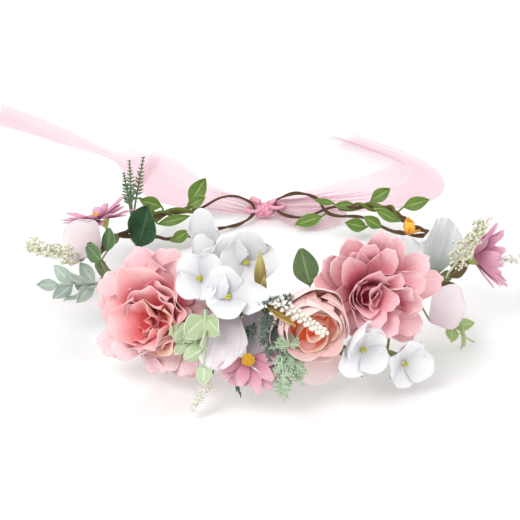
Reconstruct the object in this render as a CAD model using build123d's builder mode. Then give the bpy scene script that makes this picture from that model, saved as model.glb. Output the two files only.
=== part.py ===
from build123d import *
from math import cos, radians, sin
import os

# A flower crown: an open wire ring dressed with fabric blooms, leaves and sprays along its
# front and sides. Two vine arms close the back, each ending in a loop, and an organza ribbon
# tied through both loops holds them together. The crown lies on a table, the plane z = 0.
# Millimetres, +Z up, front of the crown towards -Y. The origin is on the table, under the
# middle of the head opening.

# Ring
RING_RADIUS = 92.0  # centreline of the wire ring, for a head of about 580 mm round
RING_TILT = 10.5  # degrees that the back of the ring leans down
RING_HEIGHT = 25.0  # middle of the ring above the table
CORE_RADIUS = 1.6  # paper-wrapped wire
TAPE_RADIUS = 2.9  # floral tape over the wire and the stems
ARM_ANGLE = 128.0  # where the ring ends and the two vine arms begin, on each side
VINE_RADIUS = 1.3
TWIST_RADIUS = 0.9
STEM_RADIUS = 0.9

# Cloth and plastic foliage
PETAL = 1.2  # thickness of a stack of cloth petals
LEAF = 0.8
GAP = 0.3  # between the stems and the taped ring
BEAD_GAP = 0.05  # between a spray's stem and its beads
RIBBON = 1.2  # folded organza lying on the table

os.makedirs("parts", exist_ok=True)

RING = Plane(
    origin=(0, 0, RING_HEIGHT),
    x_dir=(1, 0, 0),
    z_dir=(0, sin(radians(RING_TILT)), cos(radians(RING_TILT))),
)


def ring_point(angle, out=0.0, up=0.0):
    """A point by the ring: 0 degrees is the front and 90 the +X side."""
    reach = RING_RADIUS + out
    turn = radians(angle)
    return RING.from_local_coords(Vector(reach * sin(turn), -reach * cos(turn), up))


def ring_section(angle):
    """The plane across the ring at an angle, facing along the wire."""
    turn = radians(angle)
    along = RING.x_dir * cos(turn) + RING.y_dir * sin(turn)
    return Plane(origin=ring_point(angle), z_dir=along)


def facing(azimuth, elevation):
    """A direction: azimuth 0 is the front, 90 the +X side, and elevation is above level."""
    turn = radians(azimuth)
    rise = radians(elevation)
    return Vector(sin(turn) * cos(rise), -cos(turn) * cos(rise), sin(rise))


def place(spot, azimuth, elevation, roll=0.0):
    """The plane at a ring spot whose normal faces the way given."""
    turn = radians(azimuth)
    plane = Plane(
        origin=ring_point(*spot),
        x_dir=(cos(turn), sin(turn), 0),
        z_dir=facing(azimuth, elevation),
    )
    return Plane(plane.location * Rotation(0, 0, roll))


def pointing(spot, azimuth, elevation, roll=0.0):
    """The plane at a ring spot whose +Y runs the way given, rolled about that line."""
    along = facing(azimuth, elevation)
    across = along.cross(Vector(0, 0, 1)).normalized()
    plane = Plane(origin=ring_point(*spot), x_dir=across, z_dir=across.cross(along))
    return Plane(plane.location * Rotation(0, roll, 0))


def put(piece, plane):
    """A piece moved from the origin to its plane."""
    return plane.location * piece


def write(node, name):
    node.part.label = name
    export_step(node.part, f"parts/{name}.step")


# ---------------------------------------------------------------- shapes used many times


def petal_layer(reach, depth, lobes, hub=3.0, thick=PETAL, lobe_share=0.4):
    """A cupped layer of petals round the Z axis, lobed at its rim, opening towards +Z."""
    with BuildPart() as layer:
        with BuildSketch(Plane.XZ):
            with BuildLine():
                inner = Spline((hub, 0), (0.6 * reach, 0.35 * depth), (reach, depth))
                outer = Spline(
                    (hub, -thick),
                    (0.6 * reach + 0.3 * thick, 0.35 * depth - thick),
                    (reach + 0.3 * thick, depth - thick),
                )
                Line(inner @ 0, outer @ 0)
                Line(inner @ 1, outer @ 1)
            make_face()
        revolve(axis=Axis.Z)
        with BuildSketch(Plane.XY.offset(-2 * thick)):
            Circle((1 - 0.85 * lobe_share) * reach)
            with PolarLocations((1 - lobe_share) * reach, lobes):
                Circle(lobe_share * reach)
        extrude(amount=depth + 4 * thick, mode=Mode.INTERSECT)
    return layer.part


def daisy_layer(reach, depth, petals, hub=2.2, thick=1.0):
    """A ring of narrow petals round the Z axis, bent up towards +Z."""
    with BuildPart() as layer:
        with BuildSketch(Plane.XZ):
            with BuildLine():
                inner = Spline((hub, 0), (0.6 * reach, 0.3 * depth), (reach, depth))
                outer = Spline(
                    (hub, -thick), (0.6 * reach, 0.3 * depth - thick), (reach, depth - thick)
                )
                Line(inner @ 0, outer @ 0)
                Line(inner @ 1, outer @ 1)
            make_face()
        revolve(axis=Axis.Z)
        with BuildSketch(Plane.XY.offset(-2 * thick)):
            Circle(0.42 * reach)
            with PolarLocations(0.62 * reach, petals):
                SlotOverall(0.74 * reach, 0.34 * reach)
        extrude(amount=depth + 4 * thick, mode=Mode.INTERSECT)
    return layer.part


def bead_heart(radius, base, hub=2.9, foot=-PETAL):
    """A round heart on a peg that runs down through the petal layers to the calyx."""
    with BuildPart() as heart:
        with Locations((0, 0, base)):
            Sphere(radius)
        with BuildSketch(Plane.XY.offset(foot)):
            Circle(hub)
        extrude(amount=base - foot)
    return heart.part


def calyx_cup(top, bottom, depth, below=PETAL):
    """The green cup behind a bloom, just under its petals."""
    with BuildPart() as cup:
        with BuildSketch(Plane.XY.offset(-below - 0.05)):
            Circle(top)
        with BuildSketch(Plane.XY.offset(-below - depth)):
            Circle(bottom)
        loft()
    return cup.part


def rod(start, end, radius):
    """A straight stem between two points."""
    run = end - start
    with BuildPart() as stem:
        with BuildSketch(Plane(origin=start, z_dir=run)):
            Circle(radius)
        extrude(amount=run.length)
    return stem.part


def leaf_blade(length, width, thick=LEAF):
    """A pointed leaf from the origin along +Y, with a raised midrib."""
    with BuildPart() as blade:
        with BuildSketch(Plane.XY.offset(-thick / 2)):
            with BuildLine():
                side = ThreePointArc((0, 0), (width / 2, 0.45 * length), (0, length))
                mirror(side, about=Plane.YZ)
            make_face()
        extrude(amount=thick)
        with BuildSketch(Plane.XZ):
            Circle(0.45 * thick + 0.25)
        extrude(amount=-0.8 * length)
    return blade.part


def round_petal(reach, width, depth, thick=PETAL):
    """One broad cupped petal from the origin along +Y, opening towards +Z."""
    bowl = (reach**2 / 4 + depth**2) / (2 * depth)
    with BuildPart() as petal:
        with BuildSketch(Plane.XY.offset(-2 * thick)):
            with Locations((0, reach / 2)):
                Ellipse(width / 2, reach / 2)
        extrude(amount=depth + 6 * thick)
        with Locations((0, reach / 2, bowl)):
            Sphere(bowl + thick, mode=Mode.INTERSECT)
            Sphere(bowl, mode=Mode.SUBTRACT)
    return petal.part


def berry_spray(length, levels, bead, thick=0.8, bare=0.3):
    """A stem along +Y with whorls of three loose beads up its upper part and one at its tip."""
    spread = bead + thick + BEAD_GAP
    with BuildPart() as spray:
        with BuildSketch(Plane.XZ):
            Circle(thick)
        extrude(amount=-length)
        for i in range(levels):
            rise = length * (bare + (1 - bare) * i / levels)
            for side in range(3):
                turn = radians(120 * side + 60 * i + 20)
                with Locations((spread * cos(turn), rise, spread * sin(turn))):
                    Sphere(bead)
        with Locations((0, length + bead + BEAD_GAP, 0)):
            Sphere(bead)
    return spray.part


def fern_frond(length, width, pairs, thick=1.0):
    """A rib along +Y with flat leaflets in pairs, longest in the middle."""
    with BuildPart() as frond:
        with BuildSketch(Plane.XY.offset(-thick / 2)):
            with Locations((0, length / 2)):
                Rectangle(1.2, length)
            for i in range(pairs):
                share = 0.2 + 0.78 * i / (pairs - 1)
                reach = width * (0.35 + 0.65 * sin(radians(180 * min(1.0, share + 0.1))))
                with Locations((0, share * length)):
                    with Locations(Rotation(0, 0, 40), Rotation(0, 0, 140)):
                        with Locations((reach / 4, 0)):
                            SlotOverall(reach / 2 + 0.8, 0.8)
        extrude(amount=thick)
    return frond.part


def wire_path(spots, radius, bend=0.4):
    """A round wire through ring spots: straight runs joined by tangent arcs."""
    points = [ring_point(*spot) for spot in spots]
    bends = []
    for before, here, after in zip(points, points[1:], points[2:]):
        half_turn = radians((here - before).get_angle(after - here)) / 2
        run = min((here - before).length, (after - here).length)
        bends.append(bend * run * cos(half_turn) / sin(half_turn))
    with BuildPart() as wire:
        with BuildLine() as route:
            FilletPolyline(*points, radius=bends)
        with BuildSketch(Plane(origin=route.line @ 0, z_dir=route.line % 0)):
            Circle(radius)
        sweep()
    return wire.part


# ---------------------------------------------------------------- ring and tape

# Short branches of the ring that run on into the inner strands of the two vine arms
LEFT_BRANCH = [(-114, -0.5, 0), (-118, -3, -2.5), (-123, -5.5, -5), (-ARM_ANGLE, -6.5, -6)]
RIGHT_BRANCH = [(114, -0.5, 0), (118, -3, -2), (123, -5, -3), (ARM_ANGLE, -6, -3.6)]

with BuildPart() as core_wire:
    with BuildSketch(ring_section(-ARM_ANGLE)):
        Circle(CORE_RADIUS)
    revolve(axis=Axis(RING.origin, RING.z_dir), revolution_arc=2 * ARM_ANGLE)
    for branch in (LEFT_BRANCH, RIGHT_BRANCH):
        add(wire_path(branch, VINE_RADIUS))
write(core_wire, "core_wire")

TAPED = [
    (-104, 12),
    (-72, 16),
    (-38, 18),
    (-12, 12),
    (10, 12),
    (31, 16),
    (58, 20),
    (84, 12),
    (104, 8),
]  # middle and length of each wrap of tape, in degrees round the ring
with BuildPart() as tape_wraps:
    for middle, span in TAPED:
        with BuildSketch(ring_section(middle - span / 2)):
            Circle(TAPE_RADIUS)
            Circle(CORE_RADIUS + 0.05, mode=Mode.SUBTRACT)
        revolve(axis=Axis(RING.origin, RING.z_dir), revolution_arc=span)
write(tape_wraps, "tape_wraps")


def stem_to_ring(place_plane, length, angle, radius=STEM_RADIUS):
    """A stem from behind a bloom to the taped ring, its end seated on the tape."""
    start = place_plane.origin - place_plane.z_dir * length
    return rod(start, ring_point(angle), radius)


def seated(*pieces):
    """Pieces joined into one solid and cut to sit on the taped ring."""
    with BuildPart() as joined:
        for piece in pieces:
            add(piece)
        add(ring_room, mode=Mode.SUBTRACT)
    return joined.part


# The room that the taped ring takes, which stems stop at.
with BuildPart() as ring_space:
    with BuildSketch(ring_section(-ARM_ANGLE - 2)):
        Circle(TAPE_RADIUS + GAP)
    revolve(axis=Axis(RING.origin, RING.z_dir), revolution_arc=2 * ARM_ANGLE + 4)
ring_room = ring_space.part


# ---------------------------------------------------------------- large blooms

# Peony, the largest bloom, on the left of the front
PEONY = place((-38, 7, -7), -24, 24)
with BuildPart() as peony_outer_petals:
    add(put(petal_layer(32, 8, 7), PEONY))
write(peony_outer_petals, "peony_outer_petals")

with BuildPart() as peony_middle_petals:
    add(put(petal_layer(25, 12, 6), PEONY.offset(3.5)))
write(peony_middle_petals, "peony_middle_petals")

with BuildPart() as peony_inner_petals:
    add(put(petal_layer(16, 12, 5), PEONY.offset(7)))
write(peony_inner_petals, "peony_inner_petals")

with BuildPart() as peony_heart:
    add(put(bead_heart(6.5, 14.5), PEONY))
write(peony_heart, "peony_heart")

with BuildPart() as peony_calyx:
    add(seated(put(calyx_cup(6, 2, 4), PEONY), stem_to_ring(PEONY, 4, -38)))
write(peony_calyx, "peony_calyx")

# Loose petals that hang below the peony and stand on the table
DROP_PETALS = [
    (place((-36, 3, -19.8), -30, 8, roll=172), 20, 15),
    (place((-29, 2, -22.5), -22, 8, roll=188), 17, 13),
]
with BuildPart() as peony_drop_petals:
    for (plane, reach, width), angle in zip(DROP_PETALS, (-33.5, -30)):
        add(seated(put(round_petal(reach, width, 2.4), plane), rod(plane.origin, ring_point(angle), 0.8)))
write(peony_drop_petals, "peony_drop_petals")

# Dahlia, on the right of the front
DAHLIA = place((26.5, 6, 10), 12, 16)
with BuildPart() as dahlia_outer_petals:
    add(put(petal_layer(26.5, 9, 9, lobe_share=0.34), DAHLIA))
write(dahlia_outer_petals, "dahlia_outer_petals")

with BuildPart() as dahlia_middle_petals:
    add(put(petal_layer(21, 12, 8, lobe_share=0.36), DAHLIA.offset(3.5)))
write(dahlia_middle_petals, "dahlia_middle_petals")

with BuildPart() as dahlia_inner_petals:
    add(put(petal_layer(14, 12, 6), DAHLIA.offset(7)))
write(dahlia_inner_petals, "dahlia_inner_petals")

with BuildPart() as dahlia_heart:
    add(put(bead_heart(5, 14), DAHLIA))
write(dahlia_heart, "dahlia_heart")

with BuildPart() as dahlia_calyx:
    add(seated(put(calyx_cup(5.5, 2, 4), DAHLIA), stem_to_ring(DAHLIA, 4, 26)))
write(dahlia_calyx, "dahlia_calyx")

# Ranunculus rose, low at the front
ROSE = place((8, 15, -8), 9, 20)
with BuildPart() as rose_outer_petals:
    add(put(petal_layer(19, 12, 6), ROSE))
write(rose_outer_petals, "rose_outer_petals")

with BuildPart() as rose_inner_petals:
    add(put(petal_layer(13.5, 13, 5), ROSE.offset(3)))
write(rose_inner_petals, "rose_inner_petals")

with BuildPart() as rose_core:
    add(put(bead_heart(6.5, 12.5), ROSE))
write(rose_core, "rose_core")

ROSE_GUARD = place((10, 3, -15.5), 12, 8, roll=180)
with BuildPart() as rose_guard_petal:
    add(put(round_petal(19, 20, 3), ROSE_GUARD))
write(rose_guard_petal, "rose_guard_petal")

with BuildPart() as rose_calyx:
    add(seated(put(calyx_cup(5, 2, 4), ROSE), stem_to_ring(ROSE, 4, 9)))
write(rose_calyx, "rose_calyx")


# ---------------------------------------------------------------- white floret cluster

WHITE_FLORETS = [
    place((-20, 15, 15), -22, 22, roll=20),
    place((-12, 19, 12), -4, 18, roll=50),
    place((-9.5, 5, 28), 8, 30, roll=10),
    place((-21, -3, 35), -20, 20, roll=40),
]
FLORET_FORK = PETAL + 1.4  # from a floret's face back to where its stalk begins
with BuildPart() as white_floret_petals:
    for floret in WHITE_FLORETS:
        add(put(petal_layer(11.5, 4, 4, hub=1.2), floret))
write(white_floret_petals, "white_floret_petals")

WHITE_STALK_FOOT = ring_point(-15, 0, 5)

# ---------------------------------------------------------------- lilac-grey florets and cosmos

LILAC_FLORETS = [
    (place((-14.2, 10, -9), -14, 14), 10.6),
    (place((-2, 10, -15), 6, 10, roll=45), 8.5),
]
with BuildPart() as lilac_floret_petals:
    for floret, reach in LILAC_FLORETS:
        add(put(petal_layer(reach, 4, 4, hub=1.2), floret))
write(lilac_floret_petals, "lilac_floret_petals")

COSMOS = place((-7, 22, -20), -4, 16)
with BuildPart() as cosmos_petals:
    add(put(daisy_layer(12.5, 3, 8), COSMOS))
write(cosmos_petals, "cosmos_petals")

with BuildPart() as cosmos_disc:
    add(put(bead_heart(3, 3, hub=2.1, foot=-1.0), COSMOS))
write(cosmos_disc, "cosmos_disc")

with BuildPart() as cosmos_calyx:
    add(seated(put(calyx_cup(3, 1.2, 3, below=1.0), COSMOS), stem_to_ring(COSMOS, 3, -7.5, 0.7)))
write(cosmos_calyx, "cosmos_calyx")

# ---------------------------------------------------------------- white orchid florets

ORCHIDS = [
    (place((22.5, 24, -14), 14, 20), 9),
    (place((32, 17.5, -26), 30, 10, roll=30), 12.5),
    (place((40, 6, -30), 46, 0, roll=60), 10),
]
with BuildPart() as orchid_petals:
    for orchid, reach in ORCHIDS:
        add(put(petal_layer(reach, 4, 4, hub=1.2), orchid))
write(orchid_petals, "orchid_petals")

ORCHID_STALK_FOOT = ring_point(33, 2, -24)

# ---------------------------------------------------------------- side petals

# Hydrangea floret on the left
HYDRANGEA = place((-90, 8.5, 4.5), -62, 34, roll=30)
with BuildPart() as hydrangea_petals:
    add(put(petal_layer(12, 4, 4, hub=1.2), HYDRANGEA))
write(hydrangea_petals, "hydrangea_petals")

# Broad veined petals on the right
VEINED = [
    (place((49, -7, 12), 30, 20, roll=8), 22, 20),
    (place((62, -5, 5), 58, 20, roll=-12), 26, 20),
]
with BuildPart() as veined_petals:
    for plane, reach, width in VEINED:
        add(put(round_petal(reach, width, 3), plane))
write(veined_petals, "veined_petals")

# Yellow-green hearts and thin stalks of all the small florets
FLORETS = [
    *((floret, WHITE_STALK_FOOT) for floret in WHITE_FLORETS),
    *((floret, ring_point(-7, 0, -1)) for floret, reach in LILAC_FLORETS),
    *((orchid, ORCHID_STALK_FOOT) for orchid, reach in ORCHIDS),
    (HYDRANGEA, ring_point(-89)),
]
with BuildPart() as floret_hearts:
    for floret, foot in FLORETS:
        add(put(bead_heart(1.6, 1.5, hub=1.1), floret))
write(floret_hearts, "floret_hearts")

with BuildPart() as floret_stalks:
    for floret, foot in FLORETS:
        add(rod(floret.origin - floret.z_dir * FLORET_FORK, foot, 0.8))
    add(rod(WHITE_STALK_FOOT, ring_point(-14), 1.2))
    add(rod(ORCHID_STALK_FOOT, ring_point(36), 1.2))
    for (plane, reach, width), angle in zip(VEINED, (50, 62)):
        add(rod(plane.origin - plane.y_dir * 0.2, ring_point(angle), 0.8))
    add(ring_room, mode=Mode.SUBTRACT)
write(floret_stalks, "floret_stalks")

# Pale round petal low on the right
PALE = place((47.5, 10, -8), 46, 16, roll=-80)
with BuildPart() as pale_petal:
    add(put(round_petal(21, 19, 3), PALE))
write(pale_petal, "pale_petal")

# ---------------------------------------------------------------- leaves and buds


def leafy_sprig(length, leaf_length, leaf_width, pairs, splay=48):
    """A stem along +Y with leaves in pairs and one leaf at its tip."""
    with BuildPart() as sprig:
        with BuildSketch(Plane.XZ):
            Circle(0.7)
        extrude(amount=-length)
        for i in range(pairs):
            rise = length * (0.25 + 0.6 * i / pairs)
            for side in (-1, 1):
                with Locations(Location((0, rise, 0), (0, 0, side * splay))):
                    add(leaf_blade(leaf_length, leaf_width))
        with Locations((0, length - 1, 0)):
            add(leaf_blade(leaf_length, leaf_width))
    return sprig.part


with BuildPart() as dark_leaf:
    add(put(leaf_blade(26, 17), place((-113, -7, -1), -30, 14, roll=4)))
    add(ring_room, mode=Mode.SUBTRACT)
write(dark_leaf, "dark_leaf")

with BuildPart() as sage_sprig_left:
    add(put(leafy_sprig(20, 13, 8, 2), pointing((-66, 4, -3), -76, 4, roll=-50)))
    add(ring_room, mode=Mode.SUBTRACT)
write(sage_sprig_left, "sage_sprig_left")

with BuildPart() as sage_sprig_front:
    add(put(leafy_sprig(17, 9, 7, 2), pointing((-21, 20, -6), -2, -78)))
write(sage_sprig_front, "sage_sprig_front")

GREEN_LEAVES = [
    (place((5, -1, 8), 0, 24, roll=10), 15, 10),
    (place((17.5, 9, -20), 10, 14, roll=175), 14, 9),
    (place((54, 4, -3), 50, 20, roll=-120), 11, 8),
]
with BuildPart() as green_leaves:
    for plane, length, width in GREEN_LEAVES:
        add(put(leaf_blade(length, width), plane))
    add(ring_room, mode=Mode.SUBTRACT)
write(green_leaves, "green_leaves")

with BuildPart() as light_green_sprig:
    add(put(leafy_sprig(12, 10, 6, 1), pointing((57, 5, -16), 60, -38, roll=-40)))
write(light_green_sprig, "light_green_sprig")


def pointed_bud(length, radius):
    """A closed bud along +Y, widest below its middle, with a pointed tip."""
    with BuildPart() as bud:
        with BuildSketch(Plane.XY):
            with BuildLine():
                Spline((0, 0), (radius, 0.4 * length), (0, length))
                Line((0, length), (0, 0))
            make_face()
        revolve(axis=Axis.Y)
    return bud.part


with BuildPart() as brown_bud:
    add(put(pointed_bud(17, 3), pointing((-1, 3, 11), -10, 74)))
write(brown_bud, "brown_bud")

with BuildPart() as orange_bud:
    add(put(pointed_bud(9, 3.6), pointing((121, -2, 3.4), 90, 80)))
write(orange_bud, "orange_bud")

# ---------------------------------------------------------------- berry sprigs and fronds

with BuildPart() as berry_sprigs:
    add(put(berry_spray(35, 6, 1.6), pointing((-3, 20, 13), 46, -10)))
    add(put(berry_spray(17, 4, 1.4, bare=0.2), pointing((-15.5, 22, -24), -60, -56)))
    add(put(berry_spray(27, 4, 1.6, bare=0.5), pointing((84, 3.5, -2), 88, 6)))
write(berry_sprigs, "berry_sprigs")

FRONDS = [
    pointing((-2.5, 20, 8), -20, -30),
    pointing((-1, 18, -22), 20, -72),
    pointing((-10, 14, -26), -10, -80),
]
with BuildPart() as rosemary_fronds:
    for plane in FRONDS:
        add(put(fern_frond(13, 8, 6), plane))
write(rosemary_fronds, "rosemary_fronds")

# ---------------------------------------------------------------- wired pieces that bend

LEFT_DAISY = place((-104, 3, 13), -140, 62)
with BuildPart() as left_daisy_petals:
    add(put(daisy_layer(15, 5, 10), LEFT_DAISY))
write(left_daisy_petals, "left_daisy_petals")

with BuildPart() as left_daisy_disc:
    add(put(bead_heart(2.8, 2.8, hub=2.1, foot=-1.0), LEFT_DAISY))
write(left_daisy_disc, "left_daisy_disc")

with BuildPart() as left_daisy_calyx:
    add(put(calyx_cup(3.2, 1.2, 4, below=1.0), LEFT_DAISY))
    add(stem_to_ring(LEFT_DAISY, 4, -105, 0.8))
    add(ring_room, mode=Mode.SUBTRACT)
write(left_daisy_calyx, "left_daisy_calyx")

RIGHT_DAISY = place((71, 14, 8), 98, 14)
with BuildPart() as right_daisy_petals:
    add(put(daisy_layer(16, 7, 11), RIGHT_DAISY))
write(right_daisy_petals, "right_daisy_petals")

with BuildPart() as right_daisy_disc:
    add(put(bead_heart(2.8, 2.8, hub=2.1, foot=-1.0), RIGHT_DAISY))
write(right_daisy_disc, "right_daisy_disc")

with BuildPart() as right_daisy_calyx:
    add(put(calyx_cup(3.2, 1.2, 5, below=1.0), RIGHT_DAISY))
    add(stem_to_ring(RIGHT_DAISY, 4, 70, 0.8))
    add(ring_room, mode=Mode.SUBTRACT)
write(right_daisy_calyx, "right_daisy_calyx")

with BuildPart() as left_spray:
    add(put(berry_spray(31, 5, 2.0), pointing((-78, 3.4, 3), -94, 12)))
write(left_spray, "left_spray")

with BuildPart() as right_spray:
    add(put(berry_spray(31, 5, 2.0), pointing((61, 3.4, 3), 84, 63)))
write(right_spray, "right_spray")

FERN_FEET = [(-8, 30), (2, 33), (12, 27)]
with BuildPart() as fern_sprig:
    for lean, length in FERN_FEET:
        add(put(fern_frond(length, 8, 10), place((-121, 0, 4.5), 0, 0, roll=lean)))
write(fern_sprig, "fern_sprig")

# ---------------------------------------------------------------- vine arms

START = ARM_ANGLE + 1.8
LEFT_VINE = [
    (-START, 0, 1),
    (-136, 0.5, 3),
    (-145, 1.5, 1.6),
    (-154, 2.5, 2.4),
    (-161, 3, 6.4),
    (-167, 3, 7),
    (-171.6, 2.5, 2.4),
    (-171.8, -1, -3.4),
    (-167, -5, -7.4),
    (-157, -9, -8),
    (-145, -12, -9),
    (-134, -10.5, -8),
    (-START, -6.5, -6),
]
with BuildPart() as left_vine:
    add(wire_path(LEFT_VINE, VINE_RADIUS))
write(left_vine, "left_vine")

RIGHT_VINE = [
    (START, 0, 2),
    (136, 1.5, 6),
    (147, 2, 4.2),
    (158, 1.5, 2),
    (166, -2, -2.6),
    (173, -3, -4),
    (178.8, -2, -2),
    (179.6, 2, 4),
    (173, 4, 8),
    (166, 3, 6),
    (160, -3, -1),
    (149, -4, -0.5),
    (139, -5.5, -2),
    (START, -6, -3.6),
]
with BuildPart() as right_vine:
    add(wire_path(RIGHT_VINE, VINE_RADIUS))
write(right_vine, "right_vine")


def twist(route, turns, per_turn=6, clear=VINE_RADIUS + TWIST_RADIUS + 0.8):
    """Ring spots that wind round a stretch of vine, given as its ring spots."""
    spots = []
    steps = turns * per_turn
    for i in range(steps + 1):
        share = i / steps * (len(route) - 1)
        first = min(int(share), len(route) - 2)
        part = share - first
        angle, out, up = (a + (b - a) * part for a, b in zip(route[first], route[first + 1]))
        turn = radians(360 * i / per_turn)
        spots.append((angle, out + clear * cos(turn), up + clear * sin(turn)))
    return spots


LEFT_TWISTED = [(-133, 0.3, 2.1), (-136, 0.5, 2.9), (-145, 1.5, 1.7), (-153, 2.4, 2.4)]
with BuildPart() as left_twist:
    add(wire_path(twist(LEFT_TWISTED, 2), TWIST_RADIUS))
write(left_twist, "left_twist")

RIGHT_TWISTED = [(133, 0.9, 4.2), (137, 1.5, 5.7), (147, 2, 4.2), (157, 1.6, 2.2)]
with BuildPart() as right_twist:
    add(wire_path(twist(RIGHT_TWISTED, 2), TWIST_RADIUS))
write(right_twist, "right_twist")

LEFT_VINE_LEAVES = [
    (place((-150, 6, 5), 0, 34, roll=-34), 16, 9),
    (place((-138, 4, 6.5), 0, 34, roll=75), 12, 7),
    (place((-133, -13, -9), 0, 30, roll=-60), 11, 6),
]
with BuildPart() as left_vine_leaves:
    for plane, length, width in LEFT_VINE_LEAVES:
        add(put(leaf_blade(length, width), plane))
write(left_vine_leaves, "left_vine_leaves")

RIGHT_VINE_LEAVES = [
    (place((162, -7, -2), 0, 40, roll=110), 15, 7),
    (place((142, -9, -4), 0, 36, roll=80), 12, 7),
    (place((146, 5, 7.5), 0, 40, roll=-60), 12, 8),
    (place((132, 4, 8), 0, 36, roll=-75), 14, 7),
]
with BuildPart() as right_vine_leaves:
    for plane, length, width in RIGHT_VINE_LEAVES:
        add(put(leaf_blade(length, width), plane))
write(right_vine_leaves, "right_vine_leaves")


# ---------------------------------------------------------------- organza ribbon

KNOT = Vector(-6.6, 94.0, 5.4)
KNOT_WIDE = 5.2


def soft_ball(centre, wide, tall):
    """A knot's rounded body at a point: an upright cylinder with fully rounded edges."""
    with BuildPart() as ball:
        Cylinder(wide, 2 * tall)
        fillet(ball.edges(), 0.9 * min(wide, tall))
    return Pos(*centre) * ball.part


with BuildPart() as ribbon_knot:
    add(soft_ball(KNOT, KNOT_WIDE, KNOT.Z))
write(ribbon_knot, "ribbon_knot")

knot_room = soft_ball(KNOT, KNOT_WIDE + 0.1, KNOT.Z + 0.1)


def ribbon_link(middle, length, width, tall, thick=0.7):
    """A gathered band of ribbon from the knot round the end of a vine loop."""
    with BuildPart() as link:
        with BuildSketch(Plane.XY.offset(-tall / 2)):
            SlotOverall(length, width)
            SlotOverall(length - 2 * thick, width - 2 * thick, mode=Mode.SUBTRACT)
        extrude(amount=tall)
    return Pos(*middle) * link.part


with BuildPart() as ribbon_left_link:
    add(ribbon_link((-12.9, 90.4, 7.6), 8.4, 6.8, 2.0))
    add(knot_room, mode=Mode.SUBTRACT)
write(ribbon_left_link, "ribbon_left_link")

with BuildPart() as ribbon_right_link:
    add(ribbon_link((0.9, 91.2, 9.4), 8.4, 7.8, 1.6))
    add(knot_room, mode=Mode.SUBTRACT)
write(ribbon_right_link, "ribbon_right_link")


# Folded ribbon on the table: outlines as seen from above, starting by the knot
LEFT_BOW = [(-11, 92), (-45, 103), (-76, 122), (-84, 150), (-76, 176), (-42, 140), (-11, 99)]
RIGHT_BOW = [(-2, 90), (12, 76), (30, 78), (40, 91), (30, 100), (-1, 96)]
LEFT_TAIL = [
    (-86, 156),
    (-110, 176),
    (-146, 206),
    (-190, 240),
    (-182, 262),
    (-138, 232),
    (-104, 200),
    (-85, 180),
]
RIGHT_TAIL = [
    (-2, 99),
    (30, 107),
    (62, 110),
    (84, 118),
    (93, 138),
    (87, 162),
    (66, 190),
    (44, 208),
    (34, 200),
    (48, 172),
    (48, 144),
    (20, 116),
]


def flat_ribbon(corners):
    """Folded ribbon lying flat, its outline smoothed through its corners."""
    with BuildPart() as flat:
        with BuildSketch():
            with BuildLine():
                Spline(*corners, periodic=True)
            make_face()
        extrude(amount=RIBBON)
        add(knot_room, mode=Mode.SUBTRACT)
    return flat.part


for name, corners in {
    "ribbon_left_bow": LEFT_BOW,
    "ribbon_right_bow": RIGHT_BOW,
    "ribbon_left_tail": LEFT_TAIL,
    "ribbon_right_tail": RIGHT_TAIL,
}.items():
    with BuildPart() as ribbon_piece:
        add(flat_ribbon(corners))
    write(ribbon_piece, name)
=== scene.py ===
"""The looks of a flower crown: cloth blooms, foliage, wrapped vines and a sheer ribbon.

Lengths are in millimetres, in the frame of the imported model, until a mesh is made. Angles are
in degrees. Round the ring, 0 degrees is the front and 90 the +X side.
"""

import math

import bpy
import numpy as np
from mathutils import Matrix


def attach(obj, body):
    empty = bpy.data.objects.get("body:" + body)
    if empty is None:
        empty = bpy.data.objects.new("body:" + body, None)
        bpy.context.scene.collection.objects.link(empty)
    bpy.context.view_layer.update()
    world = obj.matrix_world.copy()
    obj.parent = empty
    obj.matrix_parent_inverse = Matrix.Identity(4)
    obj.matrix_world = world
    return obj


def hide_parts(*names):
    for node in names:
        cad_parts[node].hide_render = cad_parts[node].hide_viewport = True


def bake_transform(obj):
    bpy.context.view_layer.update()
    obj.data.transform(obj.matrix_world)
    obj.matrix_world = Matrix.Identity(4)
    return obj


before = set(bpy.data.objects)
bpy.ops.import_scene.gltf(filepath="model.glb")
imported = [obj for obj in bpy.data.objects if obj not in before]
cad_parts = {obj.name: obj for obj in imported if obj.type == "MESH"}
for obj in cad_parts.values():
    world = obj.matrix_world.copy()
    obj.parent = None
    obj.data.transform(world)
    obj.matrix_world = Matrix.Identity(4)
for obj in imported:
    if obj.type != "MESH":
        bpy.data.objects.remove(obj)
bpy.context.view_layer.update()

MM = 0.001
RING_RADIUS = 92.0
RING_TILT = math.radians(10.5)
RING_CENTRE = np.array([0.0, 0.0, 25.0])
RING_X = np.array([1.0, 0.0, 0.0])
RING_Y = np.array([0.0, math.cos(RING_TILT), -math.sin(RING_TILT)])
RING_UP = np.array([0.0, math.sin(RING_TILT), math.cos(RING_TILT)])
CLOTH = 0.14  # thickness of a cloth petal
LEAF = 0.4
ORGANZA = 0.12
GOLDEN_TURN = 2.39996  # radians from one blossom, pearl or grain to the next


# ---------------- places


def ring_point(angle, out=0.0, up=0.0):
    """A point by the ring, out from its centreline and up from its plane."""
    turn = math.radians(angle)
    reach = RING_RADIUS + out
    return RING_CENTRE + RING_X * reach * math.sin(turn) - RING_Y * reach * math.cos(turn) + RING_UP * up


def facing(azimuth, elevation):
    turn, rise = math.radians(azimuth), math.radians(elevation)
    return np.array([math.sin(turn) * math.cos(rise), -math.cos(turn) * math.cos(rise), math.sin(rise)])


def axes_at(origin, x, y, z):
    matrix = np.eye(4)
    matrix[:3, 0], matrix[:3, 1], matrix[:3, 2], matrix[:3, 3] = x, y, z, origin
    return matrix


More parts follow.
